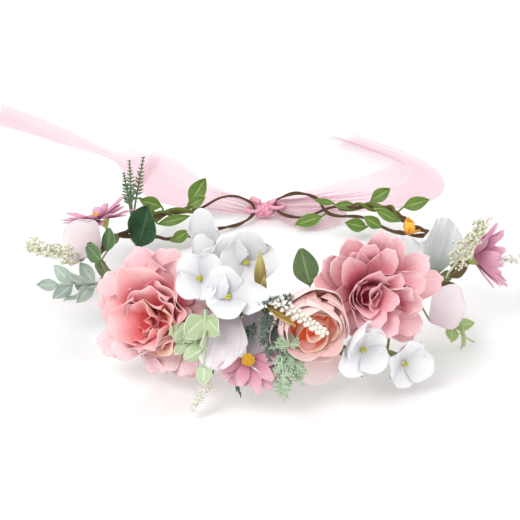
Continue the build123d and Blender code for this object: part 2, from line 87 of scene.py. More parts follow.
def place(spot, azimuth, elevation, roll=0.0):
    """Axes at a ring spot whose +Z faces the way given and whose +Y is up, turned by roll."""
    turn = math.radians(azimuth)
    z = facing(azimuth, elevation)
    x = np.array([math.cos(turn), math.sin(turn), 0.0])
    return turned(axes_at(ring_point(*spot), x, np.cross(z, x), z), 2, roll)


def pointing(spot, azimuth, elevation, roll=0.0):
    """Axes at a ring spot whose +Y runs the way given, rolled about that line."""
    y = facing(azimuth, elevation)
    x = np.cross(y, (0.0, 0.0, 1.0))
    x = x / np.linalg.norm(x)
    return turned(axes_at(ring_point(*spot), x, y, np.cross(x, y)), 1, roll)


def moved(matrix, x=0.0, y=0.0, z=0.0):
    """The same axes, with their origin moved along them."""
    other = matrix.copy()
    other[:3, 3] += matrix[:3, :3] @ np.array([x, y, z])
    return other


def turned(matrix, about, angle):
    """The same place, turned about one of its own axes, 0, 1 or 2."""
    spin = math.radians(angle)
    a, b = [(1, 2), (2, 0), (0, 1)][about]
    other = matrix.copy()
    other[:3, a] = matrix[:3, a] * math.cos(spin) + matrix[:3, b] * math.sin(spin)
    other[:3, b] = matrix[:3, b] * math.cos(spin) - matrix[:3, a] * math.sin(spin)
    return other


# ---------------- meshes


class Heap:
    """Points, faces and painting values gathered for one piece.

    Each point's painting values are its place across the sheet, from -1 to 1, its place along
    it, from 0 to 1, and a number that is the same all over one petal or leaf.
    """

    def __init__(self, seed):
        self.rng = np.random.default_rng(seed)
        self.points, self.faces, self.paint = [], [], []
        self.count = 0

    def grid(self, points, matrix=None, closed=False, tone=None):
        """A sheet of quads over rows and columns of points."""
        rows, columns = points.shape[:2]
        flat = points.reshape(-1, 3)
        if matrix is not None:
            flat = flat @ matrix[:3, :3].T + matrix[:3, 3]
        index = self.count + np.arange(rows * columns).reshape(rows, columns)
        left, right = (index, np.roll(index, -1, axis=1)) if closed else (index[:, :-1], index[:, 1:])
        quads = np.stack([left[:-1], right[:-1], right[1:], left[1:]], axis=-1)
        across, along = np.meshgrid(np.linspace(-1, 1, columns), np.linspace(0, 1, rows))
        tone = self.rng.uniform() if tone is None else tone
        self.points.append(flat)
        self.faces.append(quads.reshape(-1, 4))
        self.paint.append(np.stack([across, along, np.full_like(across, tone)], axis=-1).reshape(-1, 3))
        self.count += rows * columns

    def tube(self, line, radius, sides=8, matrix=None, tone=None):
        """A round tube along a line of points, with one radius or one for each point."""
        line = np.asarray(line, float)
        radius = np.broadcast_to(radius, len(line))
        ways = np.gradient(line, axis=0)
        ways /= np.linalg.norm(ways, axis=1)[:, None]
        side = np.cross(ways[0], (0.31, 0.27, 0.91))
        rings = []
        angles = np.linspace(0, 2 * np.pi, sides, endpoint=False)
        for point, way, size in zip(line, ways, radius):
            side = side - way * (side @ way)
            side /= np.linalg.norm(side)
            other = np.cross(way, side)
            rings.append(point + size * (np.outer(np.cos(angles), side) + np.outer(np.sin(angles), other)))
        self.grid(np.array(rings), matrix, closed=True, tone=tone)

    def ball(self, centre, radius, matrix=None, lumps=0.0, count=5, flat=1.0, rows=7, columns=10):
        """A small closed ball, lobed all round when it has lumps."""
        up = np.linspace(0.02, np.pi - 0.02, rows)[:, None]
        turn = np.linspace(0, 2 * np.pi, columns, endpoint=False)[None, :] + self.rng.uniform(0, 6)
        size = radius * (1 + lumps * np.cos(count * turn) * np.sin(up) ** 2)
        wide = size * np.sin(up)
        local = np.stack([wide * np.cos(turn), wide * np.sin(turn), flat * size * np.cos(up)], -1)
        self.grid(local + np.asarray(centre, float), matrix, closed=True)

    def pod(self, length, radius, matrix, ridges=5, depth=0.14):
        """A closed pointed pod along +Y, ridged from end to end."""
        v = np.linspace(0, 1, 16)[:, None]
        turn = np.linspace(0, 2 * np.pi, 30, endpoint=False)[None, :]
        size = radius * np.sin(np.pi * np.clip(v, 0.01, 0.985) ** 0.75) ** 0.9
        size = size * (1 + depth * np.cos(ridges * turn + 1.5 * v))
        local = np.stack([size * np.cos(turn), length * v + 0 * turn, size * np.sin(turn)], -1)
        self.grid(local, matrix, closed=True)

    def make(self, name, skin, thick=0.0):
        """The mesh object, in metres."""
        mesh = bpy.data.meshes.new(name)
        mesh.from_pydata(
            (np.concatenate(self.points) * MM).tolist(), [], np.concatenate(self.faces).tolist()
        )
        paint = mesh.attributes.new("paint", "FLOAT_VECTOR", "POINT")
        paint.data.foreach_set("vector", np.concatenate(self.paint).astype(np.float32).ravel())
        mesh.shade_smooth()
        mesh.materials.append(skin)
        piece = bpy.data.objects.new(name, mesh)
        bpy.context.scene.collection.objects.link(piece)
        if thick:
            shell = piece.modifiers.new("thickness", "SOLIDIFY")
            shell.thickness = thick * MM
            shell.offset = 0.0
        return piece

    def piece(self, name, skin, slot, nodes, thick=0.0, body="crown"):
        """The mesh object, riding on a body in place of its CAD nodes, if it stands for any."""
        made = self.make(name, skin, thick)
        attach(made, body)
        if nodes:
            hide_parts(*nodes)
        return made


def petal(
    rng,
    length,
    width,
    start=10.0,
    rise=30.0,
    curl=0.0,
    cup=0.2,
    ruffle=0.04,
    waves=2.0,
    tip=0.3,
    notch=0.0,
    fringe=0.0,
    fold=0.0,
    peak=0.6,
    base=0.3,
    tail=0.85,
    rows=14,
    columns=12,
):
    """One petal or leaf from the origin along +Y, whose face turns up by rise degrees on the way."""
    v = np.linspace(0, 1, rows + 1)[:, None]
    u = np.sin(np.pi / 2 * np.linspace(-1, 1, columns + 1))[None, :]
    widening = base + (1 - base) * np.sin(np.pi / 2 * np.minimum(v / peak, 1))
    narrowing = 1 - (1 - tail) * (np.maximum(v - peak, 0) / (1 - peak)) ** 2
    phase = rng.uniform(0, 2 * np.pi, 3)
    t = v * (1 - 1.3 * tip * (1 - np.sqrt(1 - 0.97 * u**2)) * v)
    t = t - notch * np.exp(-((u / 0.2) ** 2)) * v**6
    t = t + fringe * np.sin(9 * u + phase[0]) * v**8
    path = np.linspace(0, 1.2, 80)
    lean = np.radians(start + rise * path + curl * path**3)
    step = length * (path[1] - path[0])
    run = np.concatenate([[0], np.cumsum(np.cos(lean[:-1])) * step])
    climb = np.concatenate([[0], np.cumsum(np.sin(lean[:-1])) * step])
    here = np.interp(t, path, lean)
    puff = cup * 0.5 * width * u**2 * v**0.7
    puff = puff - fold * width * np.exp(-((u / 0.14) ** 2)) * (1 - 0.6 * v)
    wave = np.sin(waves * np.pi * u + phase[1] + 2.5 * v) + 0.4 * np.sin(5.3 * u + phase[2] - 4 * v)
    puff = puff + ruffle * width * v**1.5 * wave * (0.35 + 0.65 * np.abs(u))
    x = 0.5 * width * widening * narrowing * u
    y = np.interp(t, path, run) - np.sin(here) * puff
    z = np.interp(t, path, climb) + np.cos(here) * puff
    return np.stack([x + 0 * y, y, z], axis=-1)


def whorl(heap, matrix, count, radius, height, turn=0.0, jitter=1.0, arc=360.0, lean=(0.0, 0.0), **shape):
    """A ring of petals round the +Z axis, each a little different.

    The arc is how much of the ring they fill, counted from the turn, and lean is how much
    longer the petals are on one side, with the angle of that side.
    """
    rng = heap.rng
    for i in range(count):
        angle = math.radians(arc) * (i + turn) / count + 0.07 * jitter * rng.normal()
        size = 1 + 0.06 * jitter * rng.normal()
        size *= 1 + lean[0] * math.cos(angle - math.radians(lean[1]))
        own = dict(shape)
        own["length"] = shape["length"] * size
        own["start"] = shape.get("start", 10.0) + 5 * jitter * rng.normal()
        points = petal(rng, **own)
        x, y, z = points[..., 0], points[..., 1] + radius, points[..., 2] + height
        spun = [np.cos(angle) * y - np.sin(angle) * x, np.sin(angle) * y + np.cos(angle) * x, z]
        heap.grid(np.stack(spun, -1), matrix)


def whorls(heap, matrix, rings, **shape):
    """Whorls in one place, each as count, radius, height, turn, jitter, length, width, start, rise."""
    for *ring, length, width, start, rise in rings:
        whorl(heap, matrix, *ring, length=length, width=width, start=start, rise=rise, **shape)


def shell(rng, radius, span, low, high, flare=0.6, ripple=0.3):
    """A petal wrapped part way round the +Z axis, like a wall of a bowl, with a turned rim."""
    v = np.linspace(0, 1, 13)[:, None]
    u = np.linspace(-1, 1, 21)[None, :]
    phase = rng.uniform(0, 6)
    wall = radius * (0.35 + 0.65 * np.sin(np.pi / 2 * np.minimum(v / 0.65, 1)))
    wall = wall * (1 - 0.14 * np.maximum(v - 0.65, 0) / 0.35) + flare * v**6
    wall = wall + ripple * np.sin(3.1 * u + phase) * v**2 + 0.05 * radius * u
    turn = np.radians(span / 2) * u * (0.55 + 0.45 * v)
    z = low + (high - low) * v * (1 - 0.22 * u**4 * v) + ripple * np.sin(4.3 * u + 2 * phase) * v**3
    return np.stack([wall * np.cos(turn), wall * np.sin(turn), z], -1)


def leaf(rng, length, width, start=0.0, rise=10.0, **shape):
    """A leaf blade along +Y, folded a little along its midrib."""
    blade = {"cup": 0.16, "ruffle": 0.02, "tip": 0.0, "fold": 0.05, "peak": 0.42, "base": 0.1, "tail": 0.0}
    blade.update(shape)
    return petal(rng, length, width, start, rise, **blade)


def blades(heap, form, spots, **shape):
    """Loose leaves or petals: each row is a ring spot, azimuth, elevation, roll, length and width."""
    for spot, azimuth, elevation, roll, length, width in spots:
        heap.grid(form(heap.rng, length, width, **shape), place(spot, azimuth, elevation, roll))


def smooth_line(points, steps=8):
    """A smooth line through points, as a Catmull-Rom curve."""
    p = np.asarray(points, float)
    p = np.vstack([2 * p[0] - p[1], p, 2 * p[-1] - p[-2]])
    t = np.linspace(0, 1, steps, endpoint=False)[:, None]
    runs = []
    for a, b, c, d in zip(p, p[1:], p[2:], p[3:]):
        square, cube = 2 * a - 5 * b + 4 * c - d, 3 * b - a - 3 * c + d
        runs.append(0.5 * (2 * b + (c - a) * t + square * t**2 + cube * t**3))
    return np.vstack([*runs, p[-2:-1]])


# ---------------- materials


class Skin:
    """A material being made: its nodes and its shader."""

    def __init__(self, name, **sockets):
        self.material = bpy.data.materials.new(name)
        self.material.use_nodes = True
        self.tree = self.material.node_tree
        self.shader = self.tree.nodes["Principled BSDF"]
        for socket, value in sockets.items():
            self.shader.inputs[socket.replace("_", " ")].default_value = value
        painted = self.add("ShaderNodeAttribute", attribute_name="paint")
        values = self.add("ShaderNodeSeparateXYZ", {0: painted.outputs["Vector"]})
        self.across, self.along, self.tone = values.outputs
        self.middle = self.maths("ABSOLUTE", self.across)
        self.spot = self.add("ShaderNodeTexCoord").outputs["Object"]

    def add(self, kind, inputs=None, **settings):
        node = self.tree.nodes.new(kind)
        for key, value in settings.items():
            setattr(node, key, value)
        for key, value in (inputs or {}).items():
            self.feed(node.inputs[key], value)
        return node

    def feed(self, socket, value):
        """A link, a number, or a colour as red, green and blue."""
        if isinstance(value, bpy.types.NodeSocket):
            self.tree.links.new(value, socket)
        else:
            socket.default_value = (*value, 1.0) if isinstance(value, tuple) else value

    def maths(self, operation, a, b=0.0):
        return self.add("ShaderNodeMath", {0: a, 1: b}, operation=operation).outputs[0]

    def times(self, a, b):
        return self.maths("MULTIPLY", a, b)

    def plus(self, a, b):
        return self.maths("ADD", a, b)

    def minus(self, a, b):
        return self.maths("SUBTRACT", a, b)

    def power(self, a, b):
        return self.maths("POWER", a, b)

    def mix(self, share, a, b):
        return self.add("ShaderNodeMix", {0: share, 6: a, 7: b}, data_type="RGBA").outputs[2]

    def noise(self, vector, scale, detail=3.0):
        node = self.add("ShaderNodeTexNoise", {"Vector": vector, "Scale": scale, "Detail": detail})
        return node.outputs["Fac"]

    def vector(self, x, y, z):
        return self.add("ShaderNodeCombineXYZ", {0: x, 1: y, 2: z}).outputs[0]

    def ramp(self, value, stops):
        node = self.add("ShaderNodeValToRGB", {0: value})
        first, last = node.color_ramp.elements
        first.position, first.color = stops[0][0], (*stops[0][1], 1.0)
        last.position, last.color = stops[-1][0], (*stops[-1][1], 1.0)
        for position, colour in stops[1:-1]:
            node.color_ramp.elements.new(position).color = (*colour, 1.0)
        return node.outputs[0]

    def streaks(self, fine=16.0, long=1.3):
        """Fine lines that run along a petal or leaf, different on each."""
        lines = self.vector(
            self.times(self.across, fine),
            self.times(self.along, long),
            self.times(self.tone, 37.0),
        )
        return self.noise(lines, 1.0, 4.0)

    def finish(self, colour, height, strength, depth):
        """The colour, and a bump whose depth is in metres."""
        self.feed(self.shader.inputs["Base Color"], colour)
        bump = self.add("ShaderNodeBump", {"Height": height, "Strength": strength, "Distance": depth})
        self.tree.links.new(bump.outputs[0], self.shader.inputs["Normal"])
        return self.material


def cloth(name, root, body, rim, vein=0.22, edge=0.2, root_at=0.12, rim_at=0.85):
    """Petal cloth: deep at its root, partly its own printed colour and partly painted shade in the hollows
    between and inside the petals, light at its rim, with faint lines and a weave.
    """
    skin = Skin(name, Roughness=0.78, Sheen_Weight=0.15, Sheen_Roughness=0.5, Specular_IOR_Level=0.25)
    patches = skin.noise(skin.spot, 110.0)
    wander = skin.times(skin.minus(patches, 0.5), 0.35)
    height = skin.plus(skin.along, wander)
    # the deep root end of this ramp is partly painted shade where petals crowd together
    colour = skin.ramp(height, [(root_at, root), (0.5 * (root_at + rim_at), body), (rim_at, rim)])
    light = skin.times(skin.power(skin.middle, 6.0), edge)
    colour = skin.mix(light, colour, rim)
    lines = skin.streaks()
    colour = skin.mix(skin.times(skin.minus(lines, 0.42), 2 * vein), colour, root)
    colour = skin.mix(skin.times(skin.tone, 0.3), colour, body)
    weave = skin.noise(skin.spot, 2600.0, 1.0)
    relief = skin.plus(skin.times(lines, 0.7), skin.times(weave, 0.3))
    return skin.finish(colour, relief, 0.55, 0.0006)


def leafy(name, deep, body, edge, powder=0.0, rough=0.5):
    """A moulded leaf: a light midrib, side veins, lighter edges and patches of tone."""
    skin = Skin(name, Roughness=rough, Specular_IOR_Level=0.35)
    slant = skin.minus(skin.times(skin.along, 9.0), skin.times(skin.middle, 3.5))
    ribs = skin.maths("ABSOLUTE", skin.maths("SINE", skin.times(slant, 3.1416)))
    ribs = skin.power(skin.minus(1.0, ribs), 5.0)
    midrib = skin.maths("LESS_THAN", skin.middle, 0.055)
    patches = skin.noise(skin.spot, 240.0, 4.0)
    colour = skin.mix(patches, deep, body)
    colour = skin.mix(skin.times(ribs, 0.28), colour, edge)
    colour = skin.mix(skin.times(midrib, 0.55), colour, edge)
    colour = skin.mix(skin.times(skin.power(skin.middle, 8.0), 0.7), colour, edge)
    if powder:
        grains = skin.noise(skin.spot, 1800.0, 2.0)
        colour = skin.mix(skin.times(grains, powder), colour, edge)
    relief = skin.plus(skin.times(ribs, 0.5), skin.times(patches, 0.5))
    return skin.finish(colour, relief, 0.6, 0.0005)


def grainy(name, dark, light, scale=900.0, rough=0.6, depth=0.0004):
    """Small solid parts: a mottled colour with a grain."""
    skin = Skin(name, Roughness=rough, Specular_IOR_Level=0.35)
    grain = skin.noise(skin.spot, scale, 3.0)
    broad = skin.noise(skin.spot, 160.0, 2.0)
    colour = skin.mix(skin.times(skin.plus(grain, broad), 0.6), dark, light)
    return skin.finish(colour, grain, 0.6, depth)


def wrapped_paper(name, dark, light):
    """Twisted paper round a wire: fibres that run along it, with darker creases."""
    skin = Skin(name, Roughness=0.65, Specular_IOR_Level=0.3)
    fibres = skin.vector(
        skin.times(skin.across, 6.0), skin.times(skin.along, 90.0), skin.tone
    )
    creases = skin.noise(fibres, 1.0, 4.0)
    patches = skin.noise(skin.spot, 130.0, 3.0)
    colour = skin.mix(patches, dark, light)
    colour = skin.mix(skin.times(creases, 0.5), colour, dark)
    return skin.finish(colour, creases, 0.8, 0.0006)


def organza(name, pale, deep, alpha):
    """Sheer woven ribbon: lines of creasing along it and a fine thread pattern."""
    skin = Skin(name, Roughness=0.45, Alpha=alpha, Sheen_Weight=0.3, Specular_IOR_Level=0.4)
    creases = skin.streaks(7.0, 2.2)
    threads = skin.noise(skin.spot, 2400.0, 1.0)
    colour = skin.mix(skin.power(creases, 1.6), pale, deep)
    relief = skin.plus(creases, skin.times(threads, 0.2))
    return skin.finish(colour, relief, 0.5, 0.0006)


# Peony cloths: the deep coral roots and the deeper heart cloth are partly the cloth's colour and partly
# painted shade deep inside the bloom.
CORAL = cloth("coral_cloth", (0.8, 0.15, 0.17), (0.93, 0.47, 0.51), (0.97, 0.74, 0.76), rim_at=0.62)
CORAL_MID = cloth(
    "coral_middle_cloth", (0.8, 0.11, 0.13), (0.92, 0.38, 0.4), (0.97, 0.66, 0.67), 0.22, 0.2, 0.3, 0.9
)
CORAL_DEEP = cloth("coral_heart_cloth", (0.74, 0.09, 0.1), (0.9, 0.3, 0.31), (0.96, 0.6, 0.58))
PEACH = cloth("peach_cloth", (0.88, 0.24, 0.18), (0.95, 0.56, 0.42), (0.98, 0.74, 0.6))
# Dahlia cloths: the dark crimson root, which reaches far up each petal, and the deeper heart cloth are
# partly painted shade between the inner petals.
DUSTY = cloth(
    "dusty_cloth", (0.46, 0.03, 0.07), (0.89, 0.38, 0.44), (0.96, 0.68, 0.71), 0.3, 0.35, 0.24, 0.82
)
DUSTY_DEEP = cloth("dusty_heart_cloth", (0.34, 0.02, 0.05), (0.72, 0.18, 0.26), (0.93, 0.52, 0.57))
BLUSH = cloth("blush_cloth", (0.95, 0.42, 0.34), (0.96, 0.6, 0.57), (0.98, 0.78, 0.76), edge=0.4)
# The orange-red root of the rose's heart is partly its own colour and partly painted shade between the
# curled shells.
ROSE_HEART = cloth("rose_heart_cloth", (0.84, 0.1, 0.03), (0.92, 0.24, 0.12), (0.98, 0.76, 0.64), 0.3, 0.8)
GUARD = cloth("guard_cloth", (0.88, 0.58, 0.56), (0.92, 0.68, 0.68), (0.95, 0.8, 0.79), 0.1)
# The lilac-grey root of the white cloth is painted shade; its rim is the cloth's own white.
WHITE = cloth("white_cloth", (0.58, 0.57, 0.61), (0.77, 0.77, 0.79), (0.88, 0.88, 0.89), 0.16, 0.3)
LILAC = cloth("lilac_cloth", (0.42, 0.35, 0.39), (0.68, 0.6, 0.64), (0.86, 0.81, 0.84), 0.6, 0.8)
COSMOS_CLOTH = cloth("cosmos_cloth", (0.4, 0.11, 0.17), (0.68, 0.32, 0.4), (0.82, 0.54, 0.6), 0.5)
ORCHID_PINK = cloth("orchid_pink_cloth", (0.46, 0.1, 0.22), (0.74, 0.29, 0.46), (0.85, 0.5, 0.63), 0.5)
PALE = cloth("pale_cloth", (0.6, 0.46, 0.5), (0.76, 0.66, 0.68), (0.86, 0.78, 0.8), 0.25)
VEINED = cloth("veined_cloth", (0.42, 0.48, 0.46), (0.72, 0.77, 0.78), (0.86, 0.89, 0.9), 1.0, 0.6)
DISC = grainy("disc_grain", (0.72, 0.33, 0.02), (0.98, 0.66, 0.08), 1500.0, 0.75, 0.0012)
HEARTS = grainy("heart_grain", (0.34, 0.36, 0.02), (0.74, 0.7, 0.09), 1600.0, 0.7, 0.001)
CALYX = grainy("calyx_grain", (0.2, 0.27, 0.06), (0.55, 0.55, 0.16), 500.0)
STALK = grainy("stalk_grain", (0.12, 0.17, 0.06), (0.36, 0.38, 0.16), 600.0)
DARK_LEAF = leafy("dark_leaf_skin", (0.01, 0.055, 0.018), (0.025, 0.1, 0.035), (0.1, 0.22, 0.1), 0.0, 0.42)
GREEN_LEAF = leafy("green_leaf_skin", (0.07, 0.16, 0.06), (0.16, 0.27, 0.11), (0.36, 0.46, 0.27))
RUSSET = leafy("russet_skin", (0.06, 0.03, 0.015), (0.15, 0.11, 0.035), (0.34, 0.36, 0.12), 0.0, 0.35)
VINE_LEAF = leafy("vine_leaf_skin", (0.07, 0.15, 0.02), (0.17, 0.29, 0.05), (0.5, 0.6, 0.22), 0.0, 0.35)
SAGE = leafy("sage_skin", (0.22, 0.33, 0.26), (0.4, 0.51, 0.41), (0.78, 0.85, 0.78), 0.45, 0.8)
YELLOW_SAGE = leafy("yellow_sage_skin", (0.33, 0.44, 0.2), (0.52, 0.63, 0.36), (0.84, 0.9, 0.76), 0.45, 0.8)
LIGHT_LEAF = leafy("light_leaf_skin", (0.3, 0.44, 0.12), (0.5, 0.63, 0.26), (0.8, 0.87, 0.6), 0.2)
# Rosemary green darkened nearly to black: partly its own colour and partly painted shade of the dark gap
# behind the rose and the white florets.
SHADED_FROND = leafy("shaded_frond_skin", (0.015, 0.03, 0.022), (0.05, 0.09, 0.065), (0.44, 0.54, 0.46), 0.28, 0.85)
LACE = leafy("lace_skin", (0.25, 0.42, 0.2), (0.42, 0.6, 0.36), (0.82, 0.9, 0.76), 0.5, 0.85)
FERN = leafy("fern_skin", (0.05, 0.11, 0.05), (0.12, 0.22, 0.1), (0.42, 0.54, 0.34), 0.12, 0.7)
BROWN_BUD = cloth("brown_bud_cloth", (0.1, 0.035, 0.015), (0.36, 0.26, 0.07), (0.66, 0.6, 0.2), 0.5)
GOLDEN = leafy("golden_sheath_skin", (0.24, 0.12, 0.02), (0.5, 0.3, 0.06), (0.72, 0.58, 0.2))
ORANGE = cloth("orange_cloth", (0.75, 0.22, 0.01), (0.95, 0.42, 0.02), (0.98, 0.62, 0.1))
CREAM = grainy("cream_grain", (0.6, 0.6, 0.4), (0.95, 0.94, 0.78), 1400.0, 0.7, 0.0008)
PEARL = grainy("pearl_grain", (0.78, 0.76, 0.62), (0.96, 0.95, 0.88), 700.0, 0.35)
BARK = wrapped_paper("brown_paper", (0.06, 0.028, 0.012), (0.19, 0.1, 0.045))
OLIVE = wrapped_paper("olive_paper", (0.055, 0.085, 0.012), (0.24, 0.3, 0.05))
TAPE = grainy("floral_tape", (0.07, 0.1, 0.04), (0.2, 0.25, 0.1), 700.0, 0.7)
ORGANZA_PALE = organza("organza_pale", (0.96, 0.72, 0.79), (0.9, 0.38, 0.52), 0.27)
ORGANZA_DEEP = organza("organza_gathered", (0.95, 0.5, 0.62), (0.84, 0.24, 0.4), 0.9)


# ---------------- large blooms

PEONY = place((-38, 7, -7), -24, 24)


def peony():
    ruffled = {"curl": -30, "cup": 0.26, "ruffle": 0.1, "waves": 2.2, "tail": 0.85, "base": 0.4}
    ruffled.update(fringe=0.025, tip=0.4, rows=18, columns=18)
    heap = Heap(11)
    throat = moved(PEONY, x=7, y=4)
    whorls(heap, throat, [(8, 3, -1, 0.0, 1.3, 29, 26, 4, 26)], lean=(0.1, 215), **ruffled)
    whorls(heap, throat, [(8, 3, 1, 0.5, 1.5, 27, 24, 14, 30)], lean=(0.12, 210), **ruffled)
    heap.piece("peony_outer", CORAL, "coral_petal", ["peony_outer_petals"], CLOTH)

    heap = Heap(12)
    ruffled["lean"] = (0.2, 190)
    whorls(heap, moved(PEONY, x=8, y=3), [(6, 3, 3, 0.2, 2.4, 23, 27, 28, 32)], **ruffled)
    whorls(heap, moved(PEONY, x=9, y=1), [(5, 3, 5, 0.6, 2.6, 20, 24, 40, 30)], **ruffled)
    heap.piece("peony_middle", CORAL_MID, "coral_petal", ["peony_middle_petals"], CLOTH)

    heap = Heap(13)
    ruffled.update(ruffle=0.13, cup=0.36)
    whorls(heap, moved(PEONY, x=7, y=-1), [(4, 4, 6, 0.35, 3.0, 18, 21, 52, 30)], **ruffled)
    heap.piece("peony_inner", CORAL_MID, "coral_petal", ["peony_inner_petals"], CLOTH)

    heap = Heap(14)
    throat = moved(PEONY, x=4, y=-4)
    heap.ball((3, 4, 3), 11, throat, flat=0.45, rows=9, columns=20)
    whorls(heap, throat, [(4, 2.5, 5, 0.1, 3.0, 15, 15, 58, 34)], ruffle=0.15, waves=2, cup=0.4)
    whorls(heap, throat, [(3, 0.8, 5, 0.0, 3.0, 12, 12, 76, 20)], ruffle=0.18, waves=3, cup=0.5)
    heap.piece("peony_heart_petals", CORAL_DEEP, "coral_heart", ["peony_heart"], CLOTH)

    heap = Heap(16)
    for turn, length, width, start in ((-128, 21, 17, 34), (-84, 22, 15, 48)):
        heap.grid(
            petal(heap.rng, length, width, start, 24, -20, 0.4, 0.09, tip=0.4),
            moved(turned(moved(PEONY, x=7, y=-1), 2, turn), y=3, z=4),
        )
    heap.piece("peony_peach_petals", PEACH, "coral_petal", [], CLOTH)

    heap = Heap(15)
    for spot, azimuth, roll in (((-32, 3, -17.2), -30, 172), ((-26, 4, -17.5), -22, 190)):
        heap.grid(petal(heap.rng, 17.0, 10, 4, 4, cup=0.45, ruffle=0.05), place(spot, azimuth, 8, roll))
        top = place(spot, azimuth, 8)[:3, 3]
        heap.tube(np.linspace(top, ring_point(spot[0] + 2), 5), 0.6, 6)
    heap.piece("peony_hanging_petals", CORAL_DEEP, "coral_petal", ["peony_drop_petals"], CLOTH)


DAHLIA = place((26.5, 6, 10), 12, 16)


def dahlia():
    long = {"cup": 0.5, "ruffle": 0.05, "tip": 0.25, "tail": 0.9, "peak": 0.7, "base": 0.34, "curl": -16}
    long.update(rows=18, columns=14, waves=1.6, lean=(0.22, 40))
    heap = Heap(21)
    rings = [(10, 3, 0, 0.0, 1.6, 26, 15, 4, 28), (10, 3, 2, 0.5, 1.8, 25, 14.5, 18, 28)]
    whorls(heap, moved(DAHLIA, x=-4, y=-1), rings, fringe=0.02, **long)
    heap.piece("dahlia_outer", DUSTY, "dusty_petal", ["dahlia_outer_petals"], CLOTH)

    heap = Heap(22)
    rings = [(9, 3, 3, 0.3, 2.4, 23, 13.5, 33, 26), (7, 3, 4, 0.7, 2.8, 20, 12.5, 46, 24)]
    whorls(heap, moved(DAHLIA, x=-6, y=-1), rings, fringe=0.025, **long)
    heap.piece("dahlia_middle", DUSTY, "dusty_petal", ["dahlia_middle_petals"], CLOTH)

    heap = Heap(23)
    long.update(arc=200, fringe=0.03, ruffle=0.1)
    whorls(heap, moved(DAHLIA, x=3, y=-5), [(5, 2.5, 6, 0.1, 2.6, 16, 13, 44, 30)], **long)
    heap.piece("dahlia_inner", DUSTY, "dusty_petal", ["dahlia_inner_petals"], CLOTH)

    heap = Heap(24)
    throat = moved(DAHLIA, x=-5, y=-1)
    heap.ball((0, 0, 5), 7, throat, flat=0.5, rows=9, columns=20)
    whorls(heap, throat, [(3, 1.6, 5, 0.5, 2.4, 12, 9, 64, 20)], cup=0.6, ruffle=0.08)
    heap.piece("dahlia_heart_petals", DUSTY_DEEP, "dusty_heart", ["dahlia_heart"], CLOTH)


ROSE = place((8, 15, -8), 9, 20)


def rose():
    bloom = turned(moved(ROSE, x=-2, y=12), 0, 24)
    broad = {"cup": 0.55, "ruffle": 0.03, "tail": 0.9, "base": 0.5, "tip": 0.4, "rows": 18, "columns": 16}
    heap = Heap(31)
    rings = [(5, 2, -1.5, 0.0, 1.4, 24, 27, 10, 72), (5, 2, 0.0, 0.5, 1.4, 24, 26, 24, 74)]
    whorls(heap, bloom, rings, **broad)
    heap.piece("rose_outer", BLUSH, "blush_petal", ["rose_outer_petals"], CLOTH)

    heap = Heap(32)
    for i in range(4):
        off = moved(bloom, x=0.5 * i, y=-0.9 * i)
        wall = shell(heap.rng, 16.2 - 1.3 * i, 150, 1, 13.5 + 0.3 * i, 1.2, 0.8)
        heap.grid(wall, turned(off, 2, 137.5 * i))
    heap.piece("rose_inner", BLUSH, "blush_petal", ["rose_inner_petals"], CLOTH)

    heap = Heap(33)
    for i in range(6):
        radius = 10.8 - 1.5 * i
        off = moved(bloom, x=1.5 + 1.5 * math.sin(2.1 * i), y=-4.0 + 1.4 * math.cos(1.7 * i))
        heap.grid(shell(heap.rng, radius, 165, 2, 13.8 - 0.3 * i, 1.2, 0.7), turned(off, 2, 137.5 * i + 40))
    heap.ball((1, -3.5, 5), 9.5, bloom, flat=0.35, rows=9, columns=24)
    heap.piece("rose_swirl", ROSE_HEART, "rose_heart", ["rose_core"], CLOTH)

    heap = Heap(34)
    flat = {"start": 2, "rise": 6, "cup": 0.25, "ruffle": 0.02, "tip": 0.5}
    blades(heap, petal, [((10, 8, -14), 12, 8, 180, 20, 25)], **flat)
    heap.piece("rose_guard", GUARD, "blush_petal", ["rose_guard_petal"], CLOTH)


# ---------------- florets

WHITE_FLORETS = [
    (place((-19.5, 15, 19), -22, 24, 10), 13, 4, (0.22, 60)),
    (place((-12, 19, 13), -6, 20, 45), 14, 4, (0.42, -10)),
    (place((-9, 5, 25), 4, 28, 50), 15, 4, (0.36, 50)),
]
ORCHIDS = [
    (place((19, 24, -12), 14, 20), 13, 4, (0.2, -90)),
    (place((32, 17.5, -25), 30, 10, 30), 14, 4, (0.15, 0)),
    (place((40, 6, -28), 46, 0, 60), 10, 4, (0.2, 0)),
]
HYDRANGEA = place((-86, 6, 6), -56, 34, 30)


def floret(heap, matrix, reach, count, lean=(0.0, 0.0), **shape):
    form = {"cup": 0.34, "ruffle": 0.04, "tip": 0.42, "base": 0.3, "tail": 0.9}
    form = {**form, "start": 12, "rise": 40, "curl": -20, **shape}
    whorl(heap, matrix, count, 0.8, 0, 0.5, 1.6, length=reach, width=1.2 * reach, lean=lean, **form)


